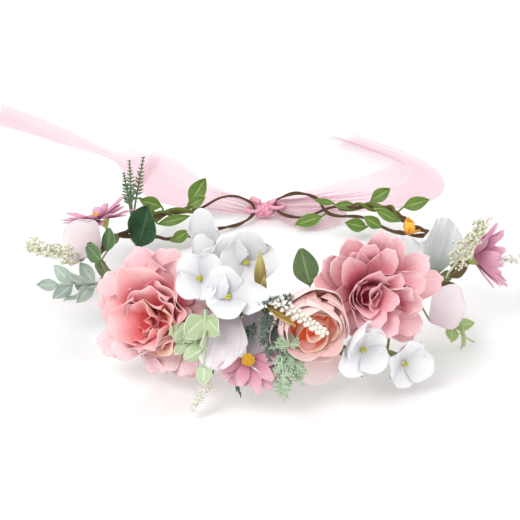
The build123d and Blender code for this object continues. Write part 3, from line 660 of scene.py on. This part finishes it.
def florets():
    heap = Heap(41)
    for matrix, reach, count, lean in WHITE_FLORETS:
        floret(heap, matrix, reach, count, lean)
    spots = [
        ((-22, -1, 29), -16, 16, 4, 20, 16),
        ((-20, 3, 25), -18, 30, 30, 12, 12),
        ((-13, 8, 24), 0, 24, 0, 15, 17),
        ((-10, 2, 22), 8, 26, -60, 15, 15),
        ((-15, 8, 19), -8, 24, 35, 15, 16),
        ((-13.5, 21, 12), -14, 24, 8, 17, 9),
    ]
    blades(heap, petal, spots, start=8, rise=18, cup=0.36, ruffle=0.03, base=0.45, tip=0.5)
    heap.piece("white_florets", WHITE, "white_petal", ["white_floret_petals"], CLOTH)

    heap = Heap(42)
    spots = [
        ((-12.5, 18, 5), -12, 24, 172, 27, 26),
        ((-6, 17, -4), 6, 22, 212, 25, 21),
        ((-7, 12, 4), 0, 22, 190, 18, 16),
        ((-16, 12, 0), -24, 20, 160, 18, 14),
    ]
    blades(heap, petal, spots, start=4, rise=12, curl=-10, cup=0.26, ruffle=0.035, base=0.45, tip=0.42)
    heap.piece("lilac_florets", LILAC, "lilac_petal", ["lilac_floret_petals"], CLOTH)

    heap = Heap(43)
    for matrix, reach, count, lean in ORCHIDS:
        floret(heap, matrix, reach, count, lean, rise=24, ruffle=0.08)
    folded = {"start": 24, "rise": 80, "curl": 30, "cup": 0.4, "ruffle": 0.04, "base": 0.5, "tip": 0.45}
    blades(heap, petal, [((19.5, 24, -7), 8, 20, 52, 20, 17)], **folded)
    heap.piece("orchid_florets", WHITE, "white_petal", ["orchid_petals"], CLOTH)

    heap = Heap(44)
    floret(heap, HYDRANGEA, 12, 4)
    rounded = {"start": 8, "rise": 14, "cup": 0.3, "ruffle": 0.03, "tip": 0.42, "peak": 0.5, "base": 0.15}
    blades(heap, petal, [((-77, 0, 9), -40, 40, 84, 23, 22)], **rounded)
    heap.piece("hydrangea_floret", PALE, "pale_petal", ["hydrangea_petals"], CLOTH)

    heap = Heap(45)
    wide = {"start": 6, "rise": 16, "cup": 0.3, "ruffle": 0.05, "waves": 2.5, "tip": 0.44}
    wide.update(rows=18, columns=16)
    blades(heap, petal, [((47, -5, 7), 30, 24, 14, 22, 21), ((62, -5, 3), 42, 24, -24, 28, 29)], **wide)
    heap.piece("veined_pair", VEINED, "veined_petal", ["veined_petals"], CLOTH)

    heap = Heap(46)
    rounded.update(start=4, rise=12, ruffle=0.04, base=0.12)
    blades(heap, petal, [((45, 10, -11.5), 46, 18, -72, 24, 24)], **rounded)
    heap.piece("pale_round_petal", PALE, "pale_petal", ["pale_petal"], CLOTH)

    heap = Heap(47)
    for matrix in [row[0] for row in WHITE_FLORETS + ORCHIDS] + [HYDRANGEA]:
        for i in range(5):
            turn = 2.4 * i
            heap.ball((0.7 * math.cos(turn), 0.7 * math.sin(turn), 1.5 + 0.2 * i), 0.75, matrix, 0.15, 4)
    heap.piece("floret_eyes", HEARTS, "floret_heart", ["floret_hearts"])


def daisy(
    name, matrix, body, seed, count, reach, skin, slot, start, rise, nodes, slim, arc=360.0, turn=0.0
):
    """A flat flower of narrow notched petals round a grainy disc."""
    form = {"notch": 0.06, "peak": 0.62, "base": 0.3, "tail": 0.7, "tip": 0.25, "cup": 0.3, "ruffle": 0.04}
    form.update(rows=12, columns=10, arc=arc, fold=0.03)
    heap = Heap(seed)
    form["rise"], width = rise, slim * reach
    whorl(heap, matrix, count, 1.8, 0, turn, 1.4, length=reach - 2, width=width, start=start, **form)
    form.update(length=reach - 3, width=0.95 * slim * reach, start=start - 8)
    whorl(heap, matrix, count, 1.8, -0.5, turn + 0.5, 1.4, **form)
    heap.piece(f"{name}_flower", skin, slot, [nodes[0]], CLOTH, body)
    heap = Heap(seed + 1)
    for i in range(70):
        spin, out = GOLDEN_TURN * i, 0.36 * math.sqrt(i)
        grain = (out * math.cos(spin), out * math.sin(spin), 2.4 - 0.12 * out**2)
        heap.ball(grain, 0.42, matrix, flat=2.2, rows=5, columns=6)
    heap.piece(f"{name}_eye", DISC, "disc", [nodes[1]], body=body)


def daisies():
    cosmos = place((-7, 23, -15), -4, 12)
    daisy(
        "cosmos", cosmos, "crown", 51, 7, 16, COSMOS_CLOTH, "cosmos_petal", 2, 26,
        ("cosmos_petals", "cosmos_disc"), 0.4, 180, 7.8
    )
    left = place((-103, 6, 13), -140, 66)
    daisy(
        "left_daisy", left, "left_daisy", 53, 14, 20, ORCHID_PINK, "orchid_pink", 4, 18,
        ("left_daisy_petals", "left_daisy_disc"), 0.26
    )
    right = place((71, 11, 9), 88, 8)
    daisy(
        "right_daisy", right, "right_daisy", 55, 16, 22, ORCHID_PINK, "orchid_pink", 36, 10,
        ("right_daisy_petals", "right_daisy_disc"), 0.27
    )


# ---------------- leaves and buds


def sprig(heap, matrix, length, leaf_length, leaf_width, pairs, splay=50, **shape):
    """A stem along +Y with leaves in pairs, each pair turned from the last."""
    line = [(0, length * s, 1.2 * math.sin(2.2 * s)) for s in np.linspace(0, 1, 10)]
    heap.tube(line, np.linspace(0.75, 0.4, 10), 6, matrix)
    for i in range(pairs):
        share = 0.15 + 0.75 * i / pairs
        for side in (-1, 1):
            size = 1.1 - 0.35 * share + 0.08 * heap.rng.normal()
            spot = moved(matrix, y=length * share)
            spot = turned(spot, 1, 70 * i + 12 * heap.rng.normal())
            spot = turned(spot, 2, side * splay + 8 * heap.rng.normal())
            long, wide = leaf_length * size, leaf_width * size
            heap.grid(leaf(heap.rng, long, wide, 10, 22, rows=10, columns=8, **shape), spot)
    last = leaf(heap.rng, 0.8 * leaf_length, 0.8 * leaf_width, 5, 20, rows=10, columns=8)
    heap.grid(last, moved(matrix, y=length - 1))


def stalk(heap, spot, root=None, size=0.45):
    """A short stalk to a ring spot from the ring's wire below it, or from the root point given."""
    root = ring_point(spot[0]) if root is None else root
    heap.tube(np.linspace(root, ring_point(*spot), 4), size, 6, tone=0.5)


def leaves():
    heap = Heap(61)
    broad = {"start": 2, "rise": 8, "cup": 0.22, "fold": 0.07, "rows": 20, "columns": 16}
    blades(heap, leaf, [((-117, -7, -7.5), -30, 14, -14, 27, 19)], **broad)
    heap.piece("dark_broad_leaf", DARK_LEAF, "dark_leaf", ["dark_leaf"], LEAF)

    heap = Heap(62)
    sprig(heap, pointing((-66, 4, -3), -76, 4, -50), 22, 15, 8, 3, cup=0.25)
    sprig(heap, pointing((-70, 3, -5), -50, -14, 10), 14, 11, 8, 2, cup=0.25)
    heap.piece("left_sage", SAGE, "sage_leaf", ["sage_sprig_left"], LEAF)

    heap = Heap(63)
    sprig(heap, pointing((-17, 22, 7), -4, -68), 26, 12, 9.5, 3, 54, cup=0.3, tail=0.25)
    sprig(heap, pointing((-20, 21, -3), -40, -40), 9, 10, 8.5, 2, 50, cup=0.3, tail=0.25)
    heap.piece("front_sage", YELLOW_SAGE, "sage_leaf", ["sage_sprig_front"], LEAF)

    heap = Heap(64)
    spots = [
        ((9, -1, 12), 0, 24, 14, 18, 12),
        ((21.5, 11, -17), 10, 14, 176, 13, 8),
        ((17, 8, -15), 4, 14, 196, 12, 8),
        ((-66, 4, 8), -50, 24, 70, 12, 9),
        ((-80, -4, 6), -30, 34, 6, 12, 8),
    ]
    blades(heap, leaf, spots, start=2, rise=14, tail=0.2)
    heap.piece("green_leaf_group", GREEN_LEAF, "green_leaf", ["green_leaves"], LEAF)

    heap = Heap(68)
    spots = [
        ((51, 4, -1), 44, 30, -96, 13, 8),
        ((60, 5, 3), 50, 30, -80, 14, 8),
        ((58, 0, -2), 50, 40, -130, 11, 7),
        ((-74, 3, 4), -50, 34, 50, 11, 8),
    ]
    blades(heap, leaf, spots, start=2, rise=18, tail=0.2, cup=0.3)
    heap.piece("russet_leaves", RUSSET, "green_leaf", [], LEAF)

    heap = Heap(65)
    sprig(heap, pointing((57, 5, -16), 60, -38, -40), 12, 11, 7, 2)
    for bend in (-18, 4, 20):
        tip = np.array([0.5 * bend, 15.0, -3.0])
        line = smooth_line([(0, 2, 0), (0.2 * bend, 8, 1.5), tip, tip + (0.15 * bend, 3.0, -4.0)], 5)
        heap.tube(line, np.linspace(0.45, 0.15, len(line)), 5, pointing((57, 5, -14), 62, -32, -40))
    heap.piece("light_green_leaves", LIGHT_LEAF, "light_leaf", ["light_green_sprig"], LEAF)

    heap = Heap(66)
    heap.pod(22, 2.3, pointing((-4.8, 13, 14), -2, 84), 4, 0.2)
    heap.pod(13, 1.5, pointing((-4.2, 13, 12), 12, 74), 3, 0.2)
    heap.tube(np.linspace(ring_point(-4.8, 4, 0), ring_point(-4.8, 13, 15.5), 6), 0.7, 6)
    heap.piece("brown_bud_pod", BROWN_BUD, "brown_bud", ["brown_bud"])

    heap = Heap(67)
    cup = turned(pointing((117, -12, 0.5), 90, 80), 0, -90)
    whorl(heap, cup, 5, 0.6, 0, length=9, width=6, start=52, rise=50, cup=0.5)
    heap.tube(np.linspace(ring_point(120), ring_point(117, -12, 0.5), 5), 0.6, 6)
    heap.piece("orange_small_bud", ORANGE, "orange_bud", ["orange_bud"], CLOTH)


# ---------------- sprays and fronds


def blossoms(heap, matrix, length, count, size, spread, bare=0.2):
    """A branched stem along +Y whose twigs carry small lobed blossoms."""
    rng = heap.rng
    line = [(0.6 * math.sin(3 * s), length * s, 0.5 * math.cos(4 * s)) for s in np.linspace(0, 1, 14)]
    heap.tube(line, np.linspace(0.6, 0.3, 14), 6, matrix, tone=0.0)
    for i in range(count):
        share = bare + (1 - bare) * (i + 0.5) / count
        turn = GOLDEN_TURN * i + rng.normal() * 0.3
        reach = spread * (1.2 - 0.75 * share) * rng.uniform(0.55, 1.1)
        centre = np.array([reach * math.cos(turn), length * share + 1.5, reach * math.sin(turn)])
        bend = 0.6 * centre + (0, 0.4 * length * share, 0)
        heap.tube([(0, length * share - 1, 0), bend, centre], 0.16, 4, matrix, tone=0.1)
        for _ in range(3):
            offset = rng.normal(size=3) * size * 0.75
            heap.ball(centre + offset, size * rng.uniform(0.45, 0.8), matrix, 0.4, 5, 0.7, 6, 10)


def pearls(heap, matrix, length, count, size, spread):
    """A straight stem along +Y with pearls spiralling round it."""
    rng = heap.rng
    heap.tube([(0, length * s, 0) for s in np.linspace(0, 1, 10)], 0.5, 6, matrix, tone=0.0)
    for i in range(count):
        share = 0.15 + 0.85 * (i + 0.5) / count
        turn = GOLDEN_TURN * i
        reach = spread * (1.15 - 0.6 * share)
        centre = (reach * math.cos(turn), length * share, reach * math.sin(turn))
        heap.ball(centre, size * rng.uniform(0.8, 1.1), matrix, rows=8, columns=12)


def frond(heap, matrix, length, width, pairs, bend=6.0, lace=0.0, bare=0.16):
    """A curved rib with narrow leaflets in pairs, cut into lobes when it is lacy."""
    rng = heap.rng
    line = np.array([(0, length * s, bend * s * s) for s in np.linspace(0, 1, 12)])
    heap.tube(line, np.linspace(0.5, 0.22, 12), 6, matrix)
    for i in range(pairs):
        share = bare + (0.98 - bare) * i / (pairs - 1)
        reach = width * (0.35 + 0.65 * math.sin(math.pi * min(1.0, share + 0.12)))
        for side in (-1, 1):
            spot = moved(matrix, y=length * share, z=bend * share * share)
            spot = turned(spot, 2, side * (52 + 10 * rng.normal() * (1 + lace)))
            spot = turned(spot, 1, 25 * rng.normal() * lace)
            heap.grid(leaf(rng, reach / 1.6, 0.13 * reach + 0.35, 5, 25, rows=5, columns=4), spot)
            if lace:
                for k, lobe in enumerate((-50, 50, -42, 40)):
                    tip = turned(moved(spot, y=reach * (0.12 + 0.1 * k)), 2, lobe)
                    heap.grid(leaf(rng, 0.3 * reach, 0.11 * reach, 10, 30, rows=4, columns=2), tip)


def fronds(heap, spots, spin, width, pairs, bend):
    """Lacy fronds: each row is a ring spot, azimuth, elevation and length."""
    for spot, azimuth, elevation, length in spots:
        foot = pointing(spot, azimuth, elevation, spin * heap.rng.normal())
        frond(heap, foot, length, width, pairs, bend, 1.0)


def sprays():
    heap = Heap(71)
    blossoms(heap, pointing((-78, 3.4, 3), -94, 12), 33, 64, 1.25, 4.8)
    stalk(heap, (-78, 3.4, 3))
    heap.piece("left_filler_spray", CREAM, "berry", ["left_spray"], body="left_spray")

    heap = Heap(72)
    blossoms(heap, pointing((61, 3.4, 3), 84, 63), 33, 70, 1.25, 4.8)
    stalk(heap, (61, 3.4, 3))
    heap.piece("right_filler_spray", CREAM, "berry", ["right_spray"], body="right_spray")

    heap = Heap(73)
    pearls(heap, pointing((-3, 20, 15), 46, -10), 36, 60, 0.95, 2.6)
    blossoms(heap, pointing((-15.5, 22, -24), -60, -56), 17, 18, 1.2, 2.8, 0.1)
    blossoms(heap, pointing((84, 3.5, -2), 88, 6), 28, 18, 1.3, 2.4, 0.5)
    heap.piece("berry_sprig_group", PEARL, "berry", ["berry_sprigs"])

    heap = Heap(74)
    sheath = pointing((-3, 21, 10.5), 46, -12)
    for lean in (-9, 7):
        heap.grid(leaf(heap.rng, 21, 4.5, 2, 6, cup=0.5), turned(sheath, 2, lean))
    heap.piece("berry_sheath", GOLDEN, "brown_bud", [], LEAF)

    heap = Heap(75)
    spots = [
        ((-2.5, 20, 8), -20, -30, 15),
        ((-4, 18, 11), 30, 20, 14),
        ((-3, 20, 4), 0, -70, 19),
        ((-1, 18, 9), 50, 28, 13),
        ((-4, 19, 6), 60, -30, 12),
        ((-6, 16, 0), -36, -50, 14),
        ((0, 18, 2), 10, -60, 18),
        ((-11, 15, -22), -10, -80, 14),
    ]
    fronds(heap, spots, 40, 8, 9, 3.0)
    heap.piece("rosemary_needles", SHADED_FROND, "frond", ["rosemary_fronds"], 0.25)

    heap = Heap(77)
    spots = [
        ((0, 23, -6), 16, -66, 20),
        ((2, 23, -10), 34, -70, 16),
        ((0, 22, -18), 10, -76, 15),
        ((0, 24, -4), 44, -16, 10),
        ((2, 24, -12), 40, -50, 11),
    ]
    fronds(heap, spots, 30, 10, 7, 4.0)
    heap.piece("light_lace", LACE, "frond", [], 0.25)

    heap = Heap(76)
    for lean, length, back in ((-11, 39, 0.0), (0, 37, 2.5), (7, 29, -1.5)):
        foot = turned(place((-121, 0, 4.5), 0, 0, lean), 0, -4 + back)
        frond(heap, foot, length, 6.5, 12, 2.5, bare=0.35)
    stalk(heap, (-121, 0, 5), size=0.6)
    heap.piece("fern_fronds", FERN, "fern", ["fern_sprig"], 0.3, "fern_sprig")


def stalks():
    """Short stalks for the leaves and petals that are set on the ring by themselves."""
    heap = Heap(78)
    for spot in (
        (-86, 6, 6), (-77, 0, 9), (-117, -7, -7.5), (-66, 4, -3), (-70, 3, -5), (-66, 4, 8), (-80, -4, 6),
        (-74, 3, 4), (47, -5, 7), (62, -5, 3), (45, 10, -11.5), (51, 4, -1), (60, 5, 3), (58, 0, -2),
        (57, 5, -16), (84, 3.5, -2), (9, -1, 12), (21.5, 11, -17), (17, 8, -15), (10, 8, -14),
        (-17, 22, 7), (-20, 21, -3), (-15.5, 22, -24), (-12.5, 18, 5), (-6, 17, -4), (-7, 12, 4),
        (-16, 12, 0), (-3, 20, 15), (-2.5, 20, 8), (-4, 18, 11), (-3, 20, 4), (0, 23, -6), (2, 23, -10),
        (0, 22, -18), (-11, 15, -22),
    ):
        stalk(heap, spot)
    heap.piece("short_stalks", STALK, "stalk", [])


# ---------------- ring

BRANCHES = [
    [(-112, 0, 0), (-118, -3, -2.5), (-123, -5.5, -5), (-128.5, -6.6, -6)],
    [(112, 0, 0), (118, -3, -2), (123, -5, -3), (128.5, -6, -3.6)],
]
TAPED = [(-104, 12), (-72, 16), (-38, 18), (-12, 12), (10, 12), (31, 16), (58, 20), (84, 12), (104, 8)]


def ring():
    """Paper-wrapped wires wound together, with floral tape over the feet of the stems."""
    line = np.array([ring_point(angle) for angle in np.linspace(-128.5, 128.5, 240)])
    heap = Heap(131)
    heap.tube(wound(line, 0.6, 36), 1.05, 10)
    heap.tube(wound(line, 0.8, 28, 3.1), 0.85, 8)
    for spots in BRANCHES:
        branch = smooth_line([ring_point(*spot) for spot in spots], 10)
        heap.tube(wound(branch, 0.5, 30), 0.95, 8)
        heap.tube(wound(branch, 0.6, 24, 3.0), 0.7, 8)
    heap.piece("ring_wires", BARK, "wire_wrap", ["core_wire"])

    heap = Heap(132)
    for middle, span in TAPED:
        angles = np.linspace(middle - span / 2, middle + span / 2, 4 * span)
        share = (angles - angles[0]) / span
        turns = share * span * math.radians(RING_RADIUS) / 5.0
        swell = np.clip(8 * np.minimum(share, 1 - share), 0, 1) ** 0.5
        size = 1.7 + 1.0 * swell + 0.28 * (turns % 1.0)
        heap.tube([ring_point(angle) for angle in angles], size, 14)
    heap.piece("tape_windings", TAPE, "floral_tape", ["tape_wraps"])


# ---------------- vine arms

LEFT_VINE = [
    (-125, 0, 0.2),
    (-129.8, 0, 1),
    (-136, 0.5, 3),
    (-145, 1.5, 1.6),
    (-154, 2.5, 2.4),
    (-161, 3, 6.4),
    (-167, 3, 7),
    (-171.6, 2.5, 2.4),
    (-171.8, -1, -3.4),
    (-167, -5, -7.4),
    (-157, -9, -8),
    (-145, -12, -9),
    (-134, -10.5, -8),
    (-129.8, -6.8, -6.2),
    (-126.5, -6, -5.6),
]
RIGHT_VINE = [
    (125, 0, 0.6),
    (129.8, 0, 2),
    (136, 1.5, 6),
    (147, 2, 4.2),
    (158, 1.5, 2),
    (166, -2, -2.6),
    (173, -3, -4),
    (178.8, -2, -2),
    (179.6, 2, 4),
    (173, 4, 8),
    (166, 3, 6),
    (160, -3, -1),
    (149, -4, -0.5),
    (139, -5.5, -2),
    (129.8, -6, -3.6),
    (126.5, -5.6, -3.4),
]


def wound(line, clear, pitch, start=0.0):
    """A line that winds round another at a distance."""
    ways = np.gradient(line, axis=0)
    ways /= np.linalg.norm(ways, axis=1)[:, None]
    side = np.cross(ways, (0.0, 0.0, 1.0))
    side /= np.linalg.norm(side, axis=1)[:, None]
    other = np.cross(ways, side)
    run = np.concatenate([[0], np.cumsum(np.linalg.norm(np.diff(line, axis=0), axis=1))])
    turn = (2 * np.pi * run / pitch + start)[:, None]
    return line + clear * (np.cos(turn) * side + np.sin(turn) * other)


def blended(heap, name, skin, nodes):
    """A piece between the ring and a vine arm, left in world space on no body, in place of its CAD nodes.
    """
    made = heap.make(name, skin)
    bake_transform(made)
    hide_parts(*nodes)


def vine(side, spots, twisted, leaf_rows, seed):
    """One vine arm: brown and olive strands wound together, a thin twig round them and leaves."""
    arm = f"{side}_vine_arm"
    line = smooth_line([ring_point(*spot) for spot in spots], 14)
    heap = Heap(seed)
    from_loop = np.abs(np.linspace(-1, 1, len(line))) ** 1.5
    heap.tube(wound(line, 0.5, 34), 0.62 + 0.45 * from_loop, 10)
    heap.tube(wound(line, 0.6, 26, 3.1), 0.45 + 0.35 * from_loop, 8)
    blended(heap, f"{side}_vine_strands", BARK, [f"{side}_vine"])

    heap = Heap(seed + 1)
    stretch = smooth_line([ring_point(*spot) for spot in twisted], 24)
    swell = np.sin(np.pi * np.linspace(0.06, 0.97, len(stretch))) ** 0.6
    heap.tube(wound(stretch, 1.7, 30), 0.3 + 1.25 * swell, 10)
    heap.tube(wound(stretch, 1.7, 22, 2.0), 0.25 + 0.8 * swell, 8)
    blended(heap, f"{side}_vine_twig", OLIVE, [f"{side}_twist"])

    heap = Heap(seed + 2)
    for spot, elevation, roll, length, width in leaf_rows:
        blade = leaf(heap.rng, length, width, 3, 12, cup=0.24, fold=0.07)
        heap.grid(blade, place(spot, 0, elevation, roll))
        nearest = np.linalg.norm(line - ring_point(*spot), axis=1).argmin()
        stalk(heap, spot, line[nearest], 0.4)
    heap.piece(f"{side}_vine_blades", VINE_LEAF, "vine_leaf", [f"{side}_vine_leaves"], LEAF, arm)


def vines():
    vine(
        "left",
        LEFT_VINE,
        [(-130, 0.3, 1.6), (-136, 0.5, 2.9), (-145, 1.5, 1.7), (-154, 2.4, 2.4)],
        [
            ((-150, 6, 5), 34, -34, 17, 10),
            ((-148, 3, 4), 34, -64, 12, 7),
            ((-138, 4, 6.5), 34, 75, 13, 8),
            ((-136, 2, 3), 30, 105, 12, 7),
            ((-133, -13, -9), 30, -60, 12, 7),
            ((-133, -2, -1), 40, -78, 19, 6),
        ],
        81,
    )
    vine(
        "right",
        RIGHT_VINE,
        [(130, 0.5, 2.6), (137, 1.5, 5.7), (147, 2, 4.2), (157, 1.6, 2.2)],
        [
            ((162, -7, -2), 40, 110, 17, 8),
            ((142, -9, -4), 36, 80, 13, 8),
            ((136, -7, -3), 36, 60, 12, 7),
            ((146, 5, 7.5), 40, -60, 13, 8),
            ((132, 4, 8), 36, -75, 15, 8),
            ((152, 4, 4), 40, 95, 12, 5),
            ((131, -2, 1), 36, 62, 15, 6),
            ((159, 2, 4), 40, 84, 12, 4),
        ],
        91,
    )


# ---------------- organza ribbon

KNOT = np.array([-6.6, 94.0, 5.4])


def band(heap, near, far, pleats, gather, ripple, ends=(1.0, 0.0)):
    """Ribbon between two edges, each a few points, with pleats that fade from end to end."""
    a, b = smooth_line(near, 12), smooth_line(far, 12)
    rows = len(a)
    v = np.linspace(0, 1, rows)[:, None]
    u = np.linspace(0, 1, 25)[None, :]
    points = a[:, None, :] * (1 - u[..., None]) + b[:, None, :] * u[..., None]
    phase = heap.rng.uniform(0, 6, 3)
    fade = ends[0] * (1 - v) ** 2 + ends[1] * v**2
    lift = gather * fade * np.sin(pleats * np.pi * u + phase[0])
    broad = np.sin(2.6 * np.pi * u + 3.4 * v + phase[1])
    lift = lift + ripple * (broad + 0.6 * np.sin(9 * v + 2.2 * u + phase[2]))
    points[..., 2] = np.maximum(points[..., 2] + lift, 0.4)
    heap.grid(points)


def sheet_piece(heap, name, node):
    made = heap.piece(name, ORGANZA_PALE, "organza", [node], ORGANZA)


def ribbon():
    heap = Heap(101)
    near = [(-11, 92, 4), (-30, 96, 3), (-52, 105, 2), (-72, 118, 2), (-86, 136, 2)]
    far = [(-10, 97, 8), (-28, 112, 9), (-46, 134, 9), (-60, 158, 8), (-76, 178, 5)]
    band(heap, near, far, 13, 1.6, 0.9)
    sheet_piece(heap, "ribbon_left_fan", "ribbon_left_bow")

    heap = Heap(102)
    near = [(-81, 133, 1), (-90, 149, 1.5), (-101, 171, 3), (-128, 194, 3), (-160, 218, 2), (-190, 236, 2)]
    far = [(-71, 174, 3), (-84, 180, 5), (-104, 179, 7), (-130, 208, 6), (-158, 238, 5), (-182, 262, 4)]
    band(heap, near, far, 7, 1.2, 0.8, ends=(0.4, 0.6))
    sheet_piece(heap, "ribbon_left_end", "ribbon_left_tail")

    heap = Heap(103)
    near = [(-2, 91, 4), (12, 78, 2), (28, 76, 2), (41, 88, 3)]
    far = [(-2, 95, 6), (14, 94, 5), (28, 95, 6), (41, 92, 6)]
    band(heap, near, far, 9, 1.2, 0.6)
    near = [(41, 88, 3), (30, 86, 6), (14, 86, 7), (-2, 93, 8)]
    far = [(41, 92, 6), (31, 101, 8), (15, 100, 9), (-2, 97, 8)]
    band(heap, near, far, 9, 1.0, 0.6, ends=(0.0, 1.0))
    sheet_piece(heap, "ribbon_right_loop", "ribbon_right_bow")

    heap = Heap(104)
    near = [(-2, 97, 5), (28, 103, 2), (62, 104, 2), (92, 116, 2), (103, 140, 2), (92, 172, 2)]
    far = [(-2, 100, 8), (26, 114, 9), (52, 122, 12), (70, 132, 14), (72, 150, 12), (58, 172, 9)]
    band(heap, near + [(54, 212, 2)], far + [(34, 198, 6)], 11, 1.8, 1.2, ends=(1.0, 0.4))
    sheet_piece(heap, "ribbon_right_end", "ribbon_right_tail")

    heap = Heap(105)
    up = np.linspace(0.06, np.pi - 0.06, 40)[:, None]
    turn = np.linspace(0, 2 * np.pi, 72, endpoint=False)[None, :]
    puff = 1 + 0.09 * np.sin(9 * turn + 2.5 * up) + 0.05 * np.sin(15 * turn - 4 * up)
    puff = puff + 0.12 * np.cos(2 * turn)
    x, z = 5.6 * puff * np.sin(up) * np.cos(turn), 4.7 * puff * np.sin(up) * np.sin(turn)
    heap.grid(np.stack([x, 5.2 * puff * np.cos(up) + 0 * turn, z], -1) + KNOT, closed=True)
    for lean, lift in ((0.5, 3.0), (2.4, 4.0)):
        side = math.cos(lean)
        loop = [(6 * side, 1, 3), (9 * side, 0, lift + 3), (3 * side, -2, lift + 2)]
        heap.tube(smooth_line([KNOT + step for step in loop], 8), 1.5, 10)
    heap.piece("ribbon_gathered_knot", ORGANZA_DEEP, "organza", ["ribbon_knot"], ORGANZA)

    for side, centre, far in (
        ("left", (-12.9, 90.4, 7.6), (-17.0, 89.0, 8.0)),
        ("right", (0.9, 91.2, 9.4), (5.1, 90.0, 9.4)),
    ):
        heap = Heap(106 + len(side))
        angles = np.linspace(0, 2 * np.pi, 40)
        ring = [(centre[0] + 4.0 * math.cos(a), centre[1] + 3.1 * math.sin(a), centre[2]) for a in angles]
        heap.tube(ring, 1.0 + 0.14 * np.sin(11 * angles), 12)
        near, far = np.array([KNOT[0], centre[1], centre[2]]), np.array(far)
        arm, nodes = f"{side}_vine_arm", [f"ribbon_{side}_link"]
        blended(heap, f"ribbon_{side}_turn", ORGANZA_DEEP, nodes)


# ---------------- CAD nodes that stay

KEPT = {
    "peony_calyx": CALYX,
    "dahlia_calyx": CALYX,
    "rose_calyx": CALYX,
    "cosmos_calyx": CALYX,
    "left_daisy_calyx": CALYX,
    "right_daisy_calyx": CALYX,
    "floret_stalks": STALK,
}


def keep_nodes():
    for name, skin in KEPT.items():
        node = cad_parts[name]
        node.data.materials.clear()
        node.data.materials.append(skin)
        node.data.polygons.foreach_set("material_index", [0] * len(node.data.polygons))


# ---------------- studio


LIT = (0.0, 0.03, 0.03)  # the lamps face this point; metres from here on
WORLD_STRENGTH = 0.62
CAMERA_SPOT = (-0.008836, -0.711049, 0.391633)
CAMERA_PITCH = 62.5
FILM_WIDTH, FOCAL_LENGTH = 36.0, 106.555
LAMPS = [
    ("key", (-0.7, -0.9, 1.3), 0.9, 15.0),
    ("fill", (0.9, -0.8, 0.7), 1.2, 5.5),
    ("back", (0.2, 1.1, 1.2), 1.0, 6.5),
]


def area_light(name, spot, size, power):
    """A square lamp that faces the middle of the crown."""
    lamp = bpy.data.lights.new(name, "AREA")
    lamp.size, lamp.energy = size, power
    light = bpy.data.objects.new(name, lamp)
    light.location = spot
    way = np.array(LIT) - np.array(spot)
    fall = math.atan2(math.hypot(way[0], way[1]), -way[2])
    light.rotation_euler = (fall, 0.0, math.atan2(-way[0], way[1]))
    bpy.context.scene.collection.objects.link(light)


def studio():
    skin = Skin("floor_paper", Roughness=0.9, Specular_IOR_Level=0.1)
    grain = skin.noise(skin.spot, 40.0)
    paper = skin.finish(skin.mix(grain, (0.93, 0.93, 0.93), (0.96, 0.96, 0.96)), grain, 0.05, 0.0001)
    mesh = bpy.data.meshes.new("floor")
    mesh.from_pydata([(-4, -3, 0), (4, -3, 0), (4, 6, 0), (-4, 6, 0)], [], [(0, 1, 2, 3)])
    mesh.materials.append(paper)
    floor = bpy.data.objects.new("floor", mesh)
    bpy.context.scene.collection.objects.link(floor)

    world = bpy.data.worlds.new("studio")
    world.use_nodes = True
    world.node_tree.nodes["Background"].inputs["Color"].default_value = (1.0, 1.0, 1.0, 1.0)
    world.node_tree.nodes["Background"].inputs["Strength"].default_value = WORLD_STRENGTH
    bpy.context.scene.world = world
    for lamp in LAMPS:
        area_light(*lamp)
    bpy.context.scene.view_settings.view_transform = "Standard"

    lens = bpy.data.cameras.new("camera")
    lens.sensor_width, lens.lens = FILM_WIDTH, FOCAL_LENGTH
    camera = bpy.data.objects.new("camera", lens)
    camera.location = CAMERA_SPOT
    camera.rotation_euler = (math.radians(CAMERA_PITCH), 0.0, 0.0)
    bpy.context.scene.collection.objects.link(camera)
    bpy.context.scene.camera = camera


studio()
peony()
dahlia()
rose()
florets()
daisies()
leaves()
sprays()
stalks()
ring()
vines()
ribbon()
keep_nodes()

bpy.context.view_layer.update()
